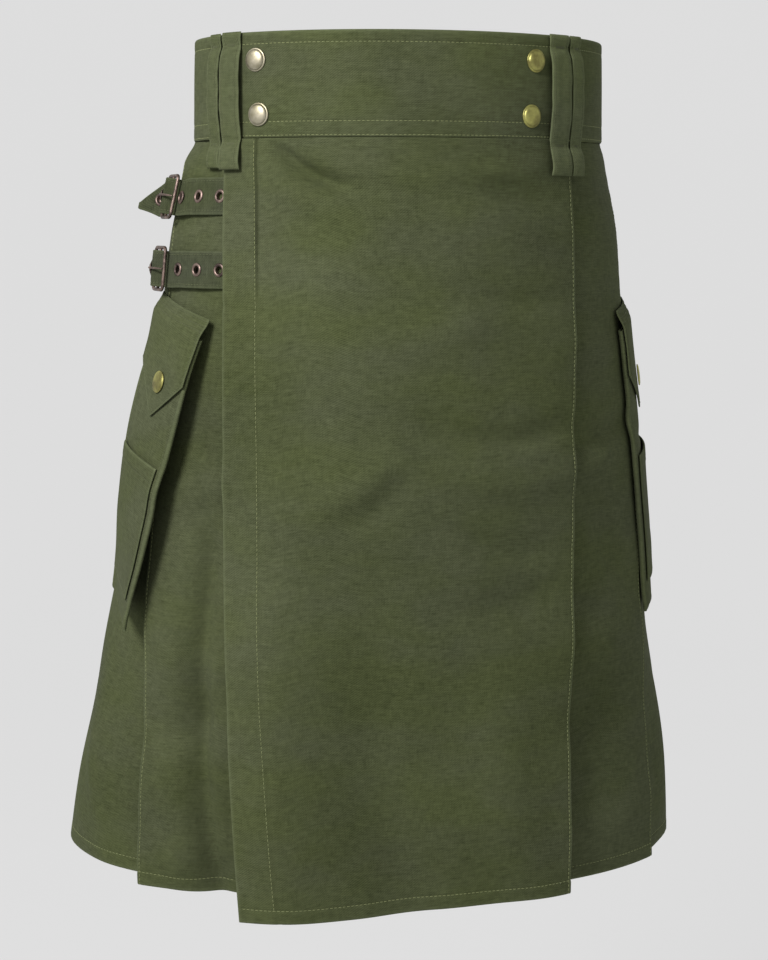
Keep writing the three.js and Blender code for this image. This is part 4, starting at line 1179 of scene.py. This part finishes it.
def stud_profile(radius, height):
    """A pressed cap: turned-under rim, shallow valley and a dome that flattens toward its middle."""
    rim = [(radius - 1.2, 0.02), (radius - 0.3, 0.05), (radius, 0.45), (radius - 0.15, 0.9)]
    rim.append((radius - 0.65, 1.15))
    dome = []
    for t in np.linspace(0, 1, 13):
        angle = t * math.pi / 2
        dome.append(((radius - 0.95) * math.cos(angle), 1.08 + (height - 1.08) * math.sin(angle) ** 0.9))
    dome[-1] = (0.001, height)
    return rim + dome


def make_stud(name, level, along, metal):
    matrix = seat(level, along, band_face(along))
    piece = lathe(name + "_cap", stud_profile(STUD_RADIUS, STUD_HEIGHT), 48, matrix, MATERIALS[metal])
    return keep_piece(piece, metal, name)


def tube(points, radius, segments=12, closed=False):
    """The points and faces of a round wire along a path."""
    points = np.asarray(points, float)
    count = len(points)
    ahead = np.roll(points, -1, axis=0) - np.roll(points, 1, axis=0)
    if not closed:
        ahead[0] = points[1] - points[0]
        ahead[-1] = points[-1] - points[-2]
    ahead = unit(ahead)
    side = np.zeros_like(points)
    guess = np.array([0.0, 0.0, 1.0]) if abs(ahead[0][2]) < 0.9 else np.array([1.0, 0.0, 0.0])
    for i in range(count):
        guess = unit(guess - ahead[i] * np.dot(guess, ahead[i]))
        side[i] = guess
    other = np.cross(ahead, side)
    angles = np.linspace(0, 2 * math.pi, segments, endpoint=False)
    radius = np.broadcast_to(radius, (count,))
    ring = side[:, None] * np.cos(angles)[None, :, None] + other[:, None] * np.sin(angles)[None, :, None]
    ring = points[:, None] + ring * radius[:, None, None]
    faces = ring_faces(count, segments, closed)
    if not closed:
        faces.append(list(range(segments))[::-1])
        faces.append([(count - 1) * segments + k for k in range(segments)])
    return ring.reshape(-1, 3), faces


def joined(parts):
    points = []
    faces = []
    for part_points, part_faces in parts:
        start = sum(len(p) for p in points)
        points.append(part_points)
        faces += [[start + i for i in face] for face in part_faces]
    return np.concatenate(points), faces


def rounded_rectangle(half_width, half_height, radius):
    corners = [(1, -1, -90), (1, 1, 0), (-1, 1, 90), (-1, -1, 180)]
    path = []
    for x, y, start in corners:
        centre = np.array([x * (half_width - radius), y * (half_height - radius)])
        for t in np.linspace(0, 1, 8):
            angle = math.radians(start + 90 * t)
            path.append([*(centre + radius * np.array([math.cos(angle), math.sin(angle)])), 0.0])
    return np.array(path)


def path_through(points, count):
    """A smooth path through points, by their chord lengths."""
    points = np.array(points, float)
    run = lengths_along(points, 0)
    curves = [smooth_curve(run, points[:, k]) for k in range(3)]
    at = np.linspace(0, run[-1], count)
    return np.stack([curve(at) for curve in curves], -1)


# Straps and buckles


def buckle_axes(strap):
    level, buckle = strap[:2]
    return seat(level, buckle, BUCKLE_STAND)


def strap_curve(strap):
    _, buckle, tip, tip_out, _ = strap
    on_panel = ON_HIP + SEAM + WEBBING_ROOM
    under_apron = on_panel - 2 * LAYER
    reach = BUCKLE_WIDTH / 2 - BUCKLE_WIRE / 2
    behind = BUCKLE_STAND - BUCKLE_WIRE / 2 - SEAM - WEBBING_ROOM
    under = behind - PRONG_ROOM - WEBBING_ROOM
    over = BUCKLE_STAND + TAB_WRAP + TAB_CLOTH / 2 + 2 * SEAM + WEBBING_ROOM
    course = np.array([
        [STRAP_ROOT, under_apron],
        [-157, under_apron],
        [-178, on_panel - 1.2],
        [buckle + reach + 14, on_panel - 0.2],
        [buckle + reach + 2, under - 0.1],
        [buckle + reach - 2, under],
        [buckle, over],
        [buckle - reach + 2, behind],
        [buckle - reach - 2, behind],
        [tip, tip_out],
    ])
    return smooth_curve(course[:, 0], course[:, 1])


def strap_place(strap, along, middle_across):
    level, buckle, _, _, droop = strap
    curve = strap_curve(strap)
    along, middle_across = np.broadcast_arrays(along, middle_across)
    free = np.clip((buckle - BUCKLE_WIDTH / 2 - along) / 20, 0, 1)
    across = middle_across - droop * free**1.5
    out = curve(along)
    nudge = 0.5
    slope = (curve(along + nudge) - curve(along - nudge)) / (2 * nudge)
    point, outward, course = place(level + across, along, out)
    outward = unit(outward - course * slope[..., None])
    axes = buckle_axes(strap)
    on_frame = moved(axes, stack(along - buckle, across, out - BUCKLE_STAND))
    facing = unit(stack(-slope, 0 * slope, 1 + 0 * slope)) @ axes[:3, :3].T
    share = ease((along - buckle - BUCKLE_WIDTH / 2) / 12)[..., None]
    return mix(on_frame, point, share), unit(mix(facing, outward, share))


def strap_axes(strap, along, lift):
    point, outward = strap_place(strap, along, 0.0)
    up = strap_place(strap, along, 4.0)[0] - strap_place(strap, along, -4.0)[0]
    across = np.cross(up, outward)
    return axes_at(point + outward * lift, across, up)


# A steel disc that closes the eyelets beyond the buckle, standing in for the shade seen through them, then
# the ring
EYELET_SHADE_DISC = [(0.05, -2.0)]
EYELET_PROFILE = [
    (EYELET_HOLE, -2.1),
    (EYELET_HOLE, -0.1),
    (EYELET_HOLE + 0.08, 0.35),
    (EYELET_HOLE + 0.5, 0.72),
    (EYELET_HOLE + 1.1, 0.8),
    (EYELET_RADIUS - 0.5, 0.55),
    (EYELET_RADIUS - 0.1, 0.2),
    (EYELET_RADIUS, -0.15),
    (EYELET_RADIUS - 0.3, -0.3),
]


def make_strap(name):
    strap = STRAPS[name]
    tip = strap[2]
    along = np.concatenate([tip + np.array([0, 0.3, 0.9]), np.arange(tip + 1.7, STRAP_ROOT, 0.85)])
    along = along[::-1][:, None]
    half = STRAP_WIDTH / 2 * mix(0.16, 1, np.clip((along - tip) / STRAP_POINT, 0, 1))
    rim = np.array([1, 0.985, 0.95, 0.9])
    share = np.concatenate([rim, np.linspace(0.84, -0.84, 23), -rim[::-1]])[None, :]
    across = half * share
    point, facing = strap_place(strap, along, across)
    from_edge = np.minimum(half - np.abs(across), along - tip + 0 * across)
    edge = rounded(from_edge, 1.3)
    cells_along = (along[1:] + along[:-1]) / 2
    cells_across = (across[1:, 1:] + across[:-1, :-1]) / 2
    keep = np.ones(cells_across.shape, bool)
    for eyelet in EYELETS[name]:
        keep &= np.hypot(cells_along - eyelet, cells_across) > EYELET_CUT
    outer = (WEBBING / 2 - groove(from_edge - STRAP_STITCH, 0.8, 0.24)) * edge
    inner = WEBBING / 2 * edge
    # Painted highlight with wear: pale lines along the strap's edges
    wear_and_edge_light = 0.6 * hump(from_edge, 1.2)
    cloth = Cloth(name + "_strap_webbing", point, facing, outer, inner, MATERIALS["webbing"], keep, wear_and_edge_light)
    for inset in (STRAP_STITCH, STRAP_WIDTH - STRAP_STITCH):
        sew(cloth.line_down(inset, 2, -26), 2.9, 2.0)
    keep_piece(cloth.piece, "webbing", name + "_strap")
    for i, eyelet in enumerate(EYELETS[name]):
        matrix = strap_axes(strap, eyelet, WEBBING / 2 + 0.1)
        # Eyelets beyond the buckle get the disc, so that they look dark like the shade inside them
        floor = EYELET_SHADE_DISC if eyelet < strap[1] else []
        ring = lathe(f"{name}_eyelet_{i + 1}_ring", floor + EYELET_PROFILE, 36, matrix, MATERIALS["steel"])
        keep_piece(ring, "steel", f"{name}_eyelet_{i + 1}")


# The prong's hook round the bar, and its way through the eyelet and over the strap to the frame
PRONG_HOOK = 2.8
PRONG_TURNS = np.radians([-35, -80, -125, -165])
PRONG_RADIUS = 0.8
PRONG_POINTS = 44
PRONG_COURSE = [(-3.1, 0, 2.4), (-3.6, 0, 4.9), (-2.8, 0, 6.6), (0.8, 0, 7.3), (8, 0, 5.6), (15.6, 0, 2.2)]


def make_buckle(name):
    strap = STRAPS[name]
    axes = buckle_axes(strap)
    wire = BUCKLE_WIRE / 2
    outline = rounded_rectangle(BUCKLE_WIDTH / 2 - wire, BUCKLE_HEIGHT / 2 - wire, 4)
    bar_end = BUCKLE_HEIGHT / 2 - wire
    bar = np.array([[0, y, 0] for y in np.linspace(-bar_end, bar_end, 9)])
    points, faces = joined([tube(outline, wire * 1.04, 14, True), tube(bar, wire, 14)])
    frame_piece = add_mesh(name + "_buckle_frame_wire", moved(axes, points), faces, MATERIALS["steel"])
    keep_piece(frame_piece, "steel", name + "_buckle_frame")
    hook = [(PRONG_HOOK * math.cos(turn), 0, PRONG_HOOK * math.sin(turn)) for turn in PRONG_TURNS]
    path = path_through(hook + PRONG_COURSE, PRONG_POINTS)
    radius = PRONG_RADIUS * (1 - 0.35 * np.linspace(0, 1, PRONG_POINTS) ** 6)
    points, faces = tube(path, radius, 10)
    prong = add_mesh(name + "_buckle_prong_wire", moved(axes, points), faces, MATERIALS["steel"])
    keep_piece(prong, "steel", name + "_buckle_prong")


def make_buckle_tab(name):
    strap = STRAPS[name]
    level, buckle = strap[:2]
    axes = buckle_axes(strap)
    share = np.array([TAB_SLOT / TAB_HALF, 0.6, 0.85, 0.93, 0.98, 1])
    widths = TAB_HALF * np.concatenate([-share[::-1], share])
    on_hip = ON_HIP + SEAM + TAB_CLOTH / 2
    hip_steps = 14
    points = []
    facing = []
    for t in np.linspace(0, 1, hip_steps + 1):
        along = mix(TAB_END, buckle - 10, t)
        spots, outward, _ = place(level + widths, along, on_hip - TAB_SINK * (1 - t))
        points.append(spots)
        facing.append(outward)
    path = [((-5.2, -TAB_WRAP - 0.3), (0, 1))]
    for turn in np.linspace(0, math.pi, 15):
        outward = np.array([-math.sin(turn), math.cos(turn)])
        path.append((tuple(-TAB_WRAP * outward), tuple(outward)))
    for (x, z), (out_x, out_z) in path:
        points.append(moved(axes, stack(x + 0 * widths, widths, z + 0 * widths)))
        facing.append(stack(out_x + 0 * widths, 0 * widths, out_z + 0 * widths) @ axes[:3, :3].T)
    keep = np.ones((len(points) - 1, len(widths) - 1), bool)
    keep[hip_steps + 1:, 5] = False
    edge = rounded(TAB_HALF - np.abs(widths), 0.9)[None, :]
    half = TAB_CLOTH / 2 * edge
    points, facing = np.array(points), np.array(facing)
    cloth = Cloth(name + "_buckle_tab_webbing", points, facing, half, half, MATERIALS["webbing"], keep, 0.1)
    keep_piece(cloth.piece, "webbing", name + "_buckle_tab")


# Pockets


def pocket_place(pocket, back, down, out):
    side, along, level, tilt = pocket[:4]
    at_level = level - down * math.cos(tilt) + back * math.sin(tilt)
    at_along = along + back * math.cos(tilt) + down * math.sin(tilt)
    return place(at_level, side * at_along, out)


def pocket_face(pocket, back, down):
    edge_share, fullness = pocket[4:]
    t = back / POCKET_WIDTH
    stands = [smooth_curve(POCKET_STAND[:, 0], POCKET_STAND[:, k])(down) for k in (1, 2, 3)]
    edge = mix(stands[1], stands[0], edge_share)
    stand = edge * (1 - t) * (1 - 2 * t) + stands[1] * 4 * t * (1 - t) + stands[2] * t * (2 * t - 1)
    return POCKET_FLAT + fullness * stand


def pocket_sag(back, down):
    """Small soft folds of a worn, empty pocket."""
    wave = 0.5 * np.sin(back / 11 + down / 19) * np.sin(down / 27 + 0.7)
    crease = 0.6 * hump(down - 100 - 0.3 * back, 8) - 0.9 * hump(down - 88 - 0.35 * back, 6)
    inside = np.clip(np.minimum(back, POCKET_WIDTH - back) / 12, 0, 1)
    return (wave + crease * (down < 104)) * inside


def bag_course(pocket, front, down):
    """The bag's places round its front, one side, its back and the other side: lengths back, distances
    out and turns."""
    back_sheet = np.linspace(POCKET_WIDTH, 0, 14)
    side_steps = np.linspace(0, 1, 5)[1:-1]
    foot_share = ease((POCKET_LENGTH - down) / 3.5)
    sag = pocket_sag(front, down) * ease((down - POCKET_MOUTH) / 12)
    face_out = pocket_face(pocket, front, down) + sag
    rear_limit = CLOTH / 2 + SEAM + POCKET_CLOTH / 2
    rear_depth = POCKET_DEPTH - POCKET_CLOTH / 2

    def rear_at(back):
        return np.maximum(rear_limit, pocket_face(pocket, back, down) - rear_depth)

    rear_out = rear_at(back_sheet)
    face_out = mix(rear_at(front) + POCKET_CLOTH * 0.95, face_out - POCKET_CLOTH / 2, foot_share)
    rim_bead = 0.45 * (hump(front, 1.2) + hump(POCKET_WIDTH - front, 1.2))
    face_out = face_out + rim_bead * foot_share
    bulge = 0.8 * np.sin(math.pi * side_steps)
    far_side_out = mix(face_out[:, -1:], rear_out[:, :1], side_steps)
    near_side_out = mix(rear_out[:, -1:], face_out[:, :1], side_steps)
    parts = [
        (front, face_out, 0.0),
        (POCKET_WIDTH + bulge, far_side_out, math.pi / 2),
        (back_sheet, rear_out, math.pi),
        (-bulge, near_side_out, math.pi * 1.5),
        (np.zeros(1), face_out[:, :1], math.pi * 2),
    ]
    back = np.concatenate([at + 0 * out for at, out, _ in parts], axis=1)
    out = np.concatenate([out for _, out, _ in parts], axis=1)
    turn = np.concatenate([angle + 0 * out for _, out, angle in parts], axis=1)
    return back, out, turn


def make_bag(name):
    pocket = POCKETS[name]
    down = rows_from(POCKET_LENGTH - POCKET_MOUTH, 3.2, [0, 1, 2.5], [0, 0.3, 0.8, 1.5, 2.5, 4, 6])
    down = POCKET_MOUTH + down[:, None]
    near = [0, 0.3, 0.8, 1.5, 2.3, 3.2, 4.5, 6.5]
    middle = np.linspace(9, POCKET_WIDTH - 9, 18)
    front = np.concatenate([near, middle, POCKET_WIDTH - np.array(near)[::-1]])
    back, out, turn = bag_course(pocket, front, down)
    point, outward, course = pocket_place(pocket, back, down, out)
    facing = face_turned(outward, course, turn, pocket[0])
    from_side = np.minimum(np.abs(back), np.abs(POCKET_WIDTH - back))
    on_face = turn < 0.1
    outer = POCKET_CLOTH / 2 - groove(from_side - POCKET_STITCH, 0.8, 0.25) * on_face
    # Painted highlight with wear: pale lines along the bag's sides and its foot
    wear_and_edge_light = 0.75 * hump(from_side, 1.3) + 0.5 * hump(POCKET_LENGTH - down, 1.5)
    if pocket[0] < 0:
        point, facing, outer, wear_and_edge_light = (grid[:, ::-1] for grid in (point, facing, outer, wear_and_edge_light))
    inner = POCKET_CLOTH / 2
    cloth = Cloth(name + "_bag_cloth", point, facing, outer, inner, MATERIALS["drill"], wear_and_edge_light=wear_and_edge_light)
    total = cloth.across.shape[1]
    face_columns = (0, len(front)) if pocket[0] > 0 else (total - len(front), total)
    starts = cloth.across[:, face_columns[0]]
    ends = cloth.across[:, face_columns[1] - 1]
    sew(cloth.line_down(starts + POCKET_STITCH, 2, -4))
    sew(cloth.line_down(ends - POCKET_STITCH, 2, -4))
    sew(cloth.line_across(cloth.down[-1] - 3.6, face_columns[0] + 4, face_columns[1] - 4))
    keep_piece(cloth.piece, "drill", name + "_bag")
    return cloth


def lay_on_pocket(pocket, back, down, lift):
    out = pocket_face(pocket, back, np.maximum(down, 0)) + lift
    point, outward, _ = pocket_place(pocket, back, down, out)
    return point, outward


def make_flap(name):
    pocket = POCKETS[name]
    half = POCKET_WIDTH / 2 + FLAP_OVERHANG
    near = np.array([0, 0.3, 0.8, 1.5, 2.4, 3.4, 5])
    middle = np.linspace(7, 2 * half - 7, 25)
    back = np.concatenate([near, middle, 2 * half - near[::-1]])[None, :] - FLAP_OVERHANG
    to_edge = np.where(back < FLAP_MIDDLE, FLAP_MIDDLE, POCKET_WIDTH - FLAP_MIDDLE) + FLAP_OVERHANG
    foot = mix(FLAP_POINT, FLAP_SIDE, np.abs(back - FLAP_MIDDLE) / to_edge)
    droop_end = POCKET_MOUTH - 1
    over_mouth = np.linspace(FLAP_TOP, droop_end, 12)[:, None] + 0 * back
    share = np.concatenate([np.linspace(0, 0.9, 20)[1:], [0.94, 0.965, 0.985, 0.995, 1]])[:, None]
    down = np.concatenate([over_mouth, mix(droop_end, foot, share)])
    on_bag = 3 * SEAM + FLAP_OUTER
    on_hip = 1.5 + SEAM - POCKET_FLAT
    droop = np.clip((droop_end - down) / (droop_end - FLAP_TOP), 0, 1)
    from_side = np.minimum(back + FLAP_OVERHANG, POCKET_WIDTH + FLAP_OVERHANG - back)
    from_foot = (foot - down) * math.cos(math.atan2(FLAP_POINT - FLAP_SIDE, half))
    from_edge = np.minimum(from_side, from_foot)
    curl = 0.5 * np.sin(back / 9 + 1) * np.clip((down - 20) / 40, 0, 1)
    lift = mix(on_bag, on_hip, ease(droop)) + curl * 0.5 + pocket_sag(back, down) * 0.3
    point, outward = lay_on_pocket(pocket, back, down, lift)
    edge = rounded(from_edge) * rounded(down - FLAP_TOP)
    ridge = 0.16 * hump(from_edge - 3.8, 1.2)
    rows = down - FLAP_TOP
    stitched = sum(groove(rows - line, 0.8, 0.22) for line in FLAP_STITCHES)
    stitched = stitched + groove(from_edge - EDGE_STITCH, 0.8, 0.3) * (rows > FLAP_STITCHES[1])
    outer = (FLAP_OUTER + ridge - stitched) * edge
    # Painted highlight with wear: pale lines along the flap's edges and its top
    wear_and_edge_light = 0.75 * hump(from_edge, 1.2) + 0.4 * hump(rows, 1.4)
    inner = FLAP_INNER * edge
    if pocket[0] < 0:
        grids = (point, outward, outer, inner, wear_and_edge_light)
        point, outward, outer, inner, wear_and_edge_light = (grid[:, ::-1] for grid in grids)
    cloth = Cloth(name + "_flap_cloth", point, outward, outer, inner, MATERIALS["drill"], wear_and_edge_light=wear_and_edge_light)
    for line in FLAP_STITCHES:
        sew(cloth.line_across(line, 2, -2), FINE_PITCH, FINE_LENGTH)
    sew_sides(cloth, 5, -3)
    sew(cloth.line_across(cloth.down[-1] - 2.9, 3, -3), FINE_PITCH, FINE_LENGTH)
    keep_piece(cloth.piece, "drill", name + "_flap")
    matrix = pocket_seat(pocket, FLAP_MIDDLE, FLAP_SNAP, on_bag + FLAP_OUTER + SEAM)
    snap = lathe(name + "_snap_cap", stud_profile(STUD_RADIUS, SNAP_HEIGHT), 48, matrix, MATERIALS["brass"])
    keep_piece(snap, "brass", name + "_snap")
    return cloth


def pocket_seat(pocket, back, down, lift):
    step = 5.0

    def spot(aside, below):
        out = pocket_face(pocket, back + aside, down + below)
        return pocket_place(pocket, back + aside, down + below, out)[0]

    across = (spot(step, 0) - spot(-step, 0)) * pocket[0]
    up = spot(0, -step) - spot(0, step)
    matrix = axes_at(spot(0, 0), across, up)
    matrix[:3, 3] += matrix[:3, 2] * lift
    return matrix


def make_patch(name):
    pocket = POCKETS[name]
    start = (POCKET_WIDTH - PATCH_WIDTH) / 2
    near = np.array([0, 0.3, 0.8, 1.5, 2.2, 3, 4.5])
    middle = np.linspace(7, PATCH_WIDTH - 7, 16)
    back = start + np.concatenate([near, middle, PATCH_WIDTH - near[::-1]])[None, :]
    length = PATCH_FOOT - PATCH_TOP
    near_top = [0, 0.3, 0.8, 1.5, 3, 5, 7.5, 9.8, 10.6, 11.2, 11.9, 13]
    rows = rows_from(length, 3, near_top, near)[:, None]
    down = PATCH_TOP + rows + 0 * back
    from_side = np.minimum(back - start, start + PATCH_WIDTH - back)
    from_edge = np.minimum(from_side, length - rows)
    mouth = hump(rows, 16) * np.sin(math.pi * np.clip((back - start) / PATCH_WIDTH, 0, 1))
    lift = SEAM + PATCH_LIFT + PATCH_GAPE * mouth + pocket_sag(back, down)
    point, outward = lay_on_pocket(pocket, back, down, lift)
    in_hem = 1 - ease((rows - PATCH_HEM) / 1.2)
    edge = rounded(from_edge) * rounded(rows)
    stitched = groove(from_edge - EDGE_STITCH, 0.8, 0.26) + groove(rows - PATCH_HEM, 0.8, 0.3)
    outer = (PATCH_OUTER + 0.22 * in_hem - stitched) * edge
    # Painted highlight with wear: pale lines along the patch's edges and its top
    wear_and_edge_light = 0.75 * hump(from_edge, 1.2) + 0.75 * hump(rows, 1.4)
    inner = (PATCH_INNER + 0.2 * in_hem) * edge
    if pocket[0] < 0:
        grids = (point, outward, outer, inner, wear_and_edge_light)
        point, outward, outer, inner, wear_and_edge_light = (grid[:, ::-1] for grid in grids)
    cloth = Cloth(name + "_patch_cloth", point, outward, outer, inner, MATERIALS["drill"], wear_and_edge_light=wear_and_edge_light)
    sew(cloth.line_across(PATCH_HEM, 2, -2), FINE_PITCH, FINE_LENGTH)
    sew_sides(cloth, 1, -4)
    sew(cloth.line_across(cloth.down[-1] - EDGE_STITCH, 4, -4), FINE_PITCH, FINE_LENGTH)
    keep_piece(cloth.piece, "drill", name + "_patch")


# Camera, stage and light


def make_camera():
    camera = bpy.data.objects.new("camera", bpy.data.cameras.new("camera"))
    camera.data.sensor_fit = "VERTICAL"
    camera.data.sensor_height = CAMERA_FILM
    camera.data.lens = CAMERA_LENS
    camera.data.clip_start = 0.05
    camera.data.clip_end = 50
    camera.location = [c * MM for c in CAMERA_PLACE]
    camera.rotation_euler = (math.pi / 2 - CAMERA_PITCH, 0, -CAMERA_AZIMUTH)
    bpy.context.scene.collection.objects.link(camera)
    bpy.context.scene.camera = camera


def make_stage():
    """A pale floor that turns up into an even wall all round."""
    flat = STAGE_RADIUS - STAGE_TURN
    profile = [(1.0, FLOOR), (flat, FLOOR)]
    for angle in np.linspace(0, math.pi / 2, 16)[1:]:
        rise = STAGE_TURN * (1 - math.cos(angle))
        profile.append((flat + STAGE_TURN * math.sin(angle), FLOOR + rise))
    profile.append((STAGE_RADIUS, STAGE_TOP))
    lathe("studio_floor", profile, 96, np.eye(4), stage_material())


def add_light(name, place_at, aim, size, power, colour):
    light = bpy.data.lights.new(name, "AREA")
    light.shape = "DISK"
    light.size = size
    light.energy = power
    light.color = colour
    lamp = bpy.data.objects.new(name, light)
    lamp.location = place_at
    direction = np.array(aim) - np.array(place_at)
    flat = math.hypot(direction[0], direction[1])
    tilt = math.atan2(flat, -direction[2])
    heading = math.atan2(direction[1], direction[0]) - math.pi / 2
    lamp.rotation_euler = (tilt, 0, heading)
    bpy.context.scene.collection.objects.link(lamp)


def make_lights():
    scene = bpy.context.scene
    scene.view_settings.view_transform = "Standard"
    world = bpy.data.worlds.new("studio")
    world.use_nodes = True
    world.node_tree.nodes["Background"].inputs["Color"].default_value = (1, 1, 1, 1)
    world.node_tree.nodes["Background"].inputs["Strength"].default_value = ROOM_LIGHT
    scene.world = world
    add_light("key", *KEY_LIGHT)


make_camera()
make_stage()
make_lights()

make_waistband()
make_outer_apron()
make_under_apron()
make_stitches("band_and_apron_stitches")
for half_name in ("left", "right"):
    make_skirt_half(half_name)
make_stitches("skirt_stitches")
for loop in LOOPS:
    make_belt_loop(*loop)
make_stitches("belt_loop_stitches", "dull_thread")
for stud_name, stud_along, stud_level, stud_metal in STUDS:
    make_stud(stud_name, stud_level, stud_along, stud_metal)
for strap_name in STRAPS:
    make_strap(strap_name)
    make_buckle(strap_name)
    make_buckle_tab(strap_name)
make_stitches("strap_stitches", "dull_thread")
for pocket_name in POCKETS:
    make_bag(pocket_name)
    make_flap(pocket_name)
    make_patch(pocket_name)
make_stitches("pocket_stitches", "dull_thread")
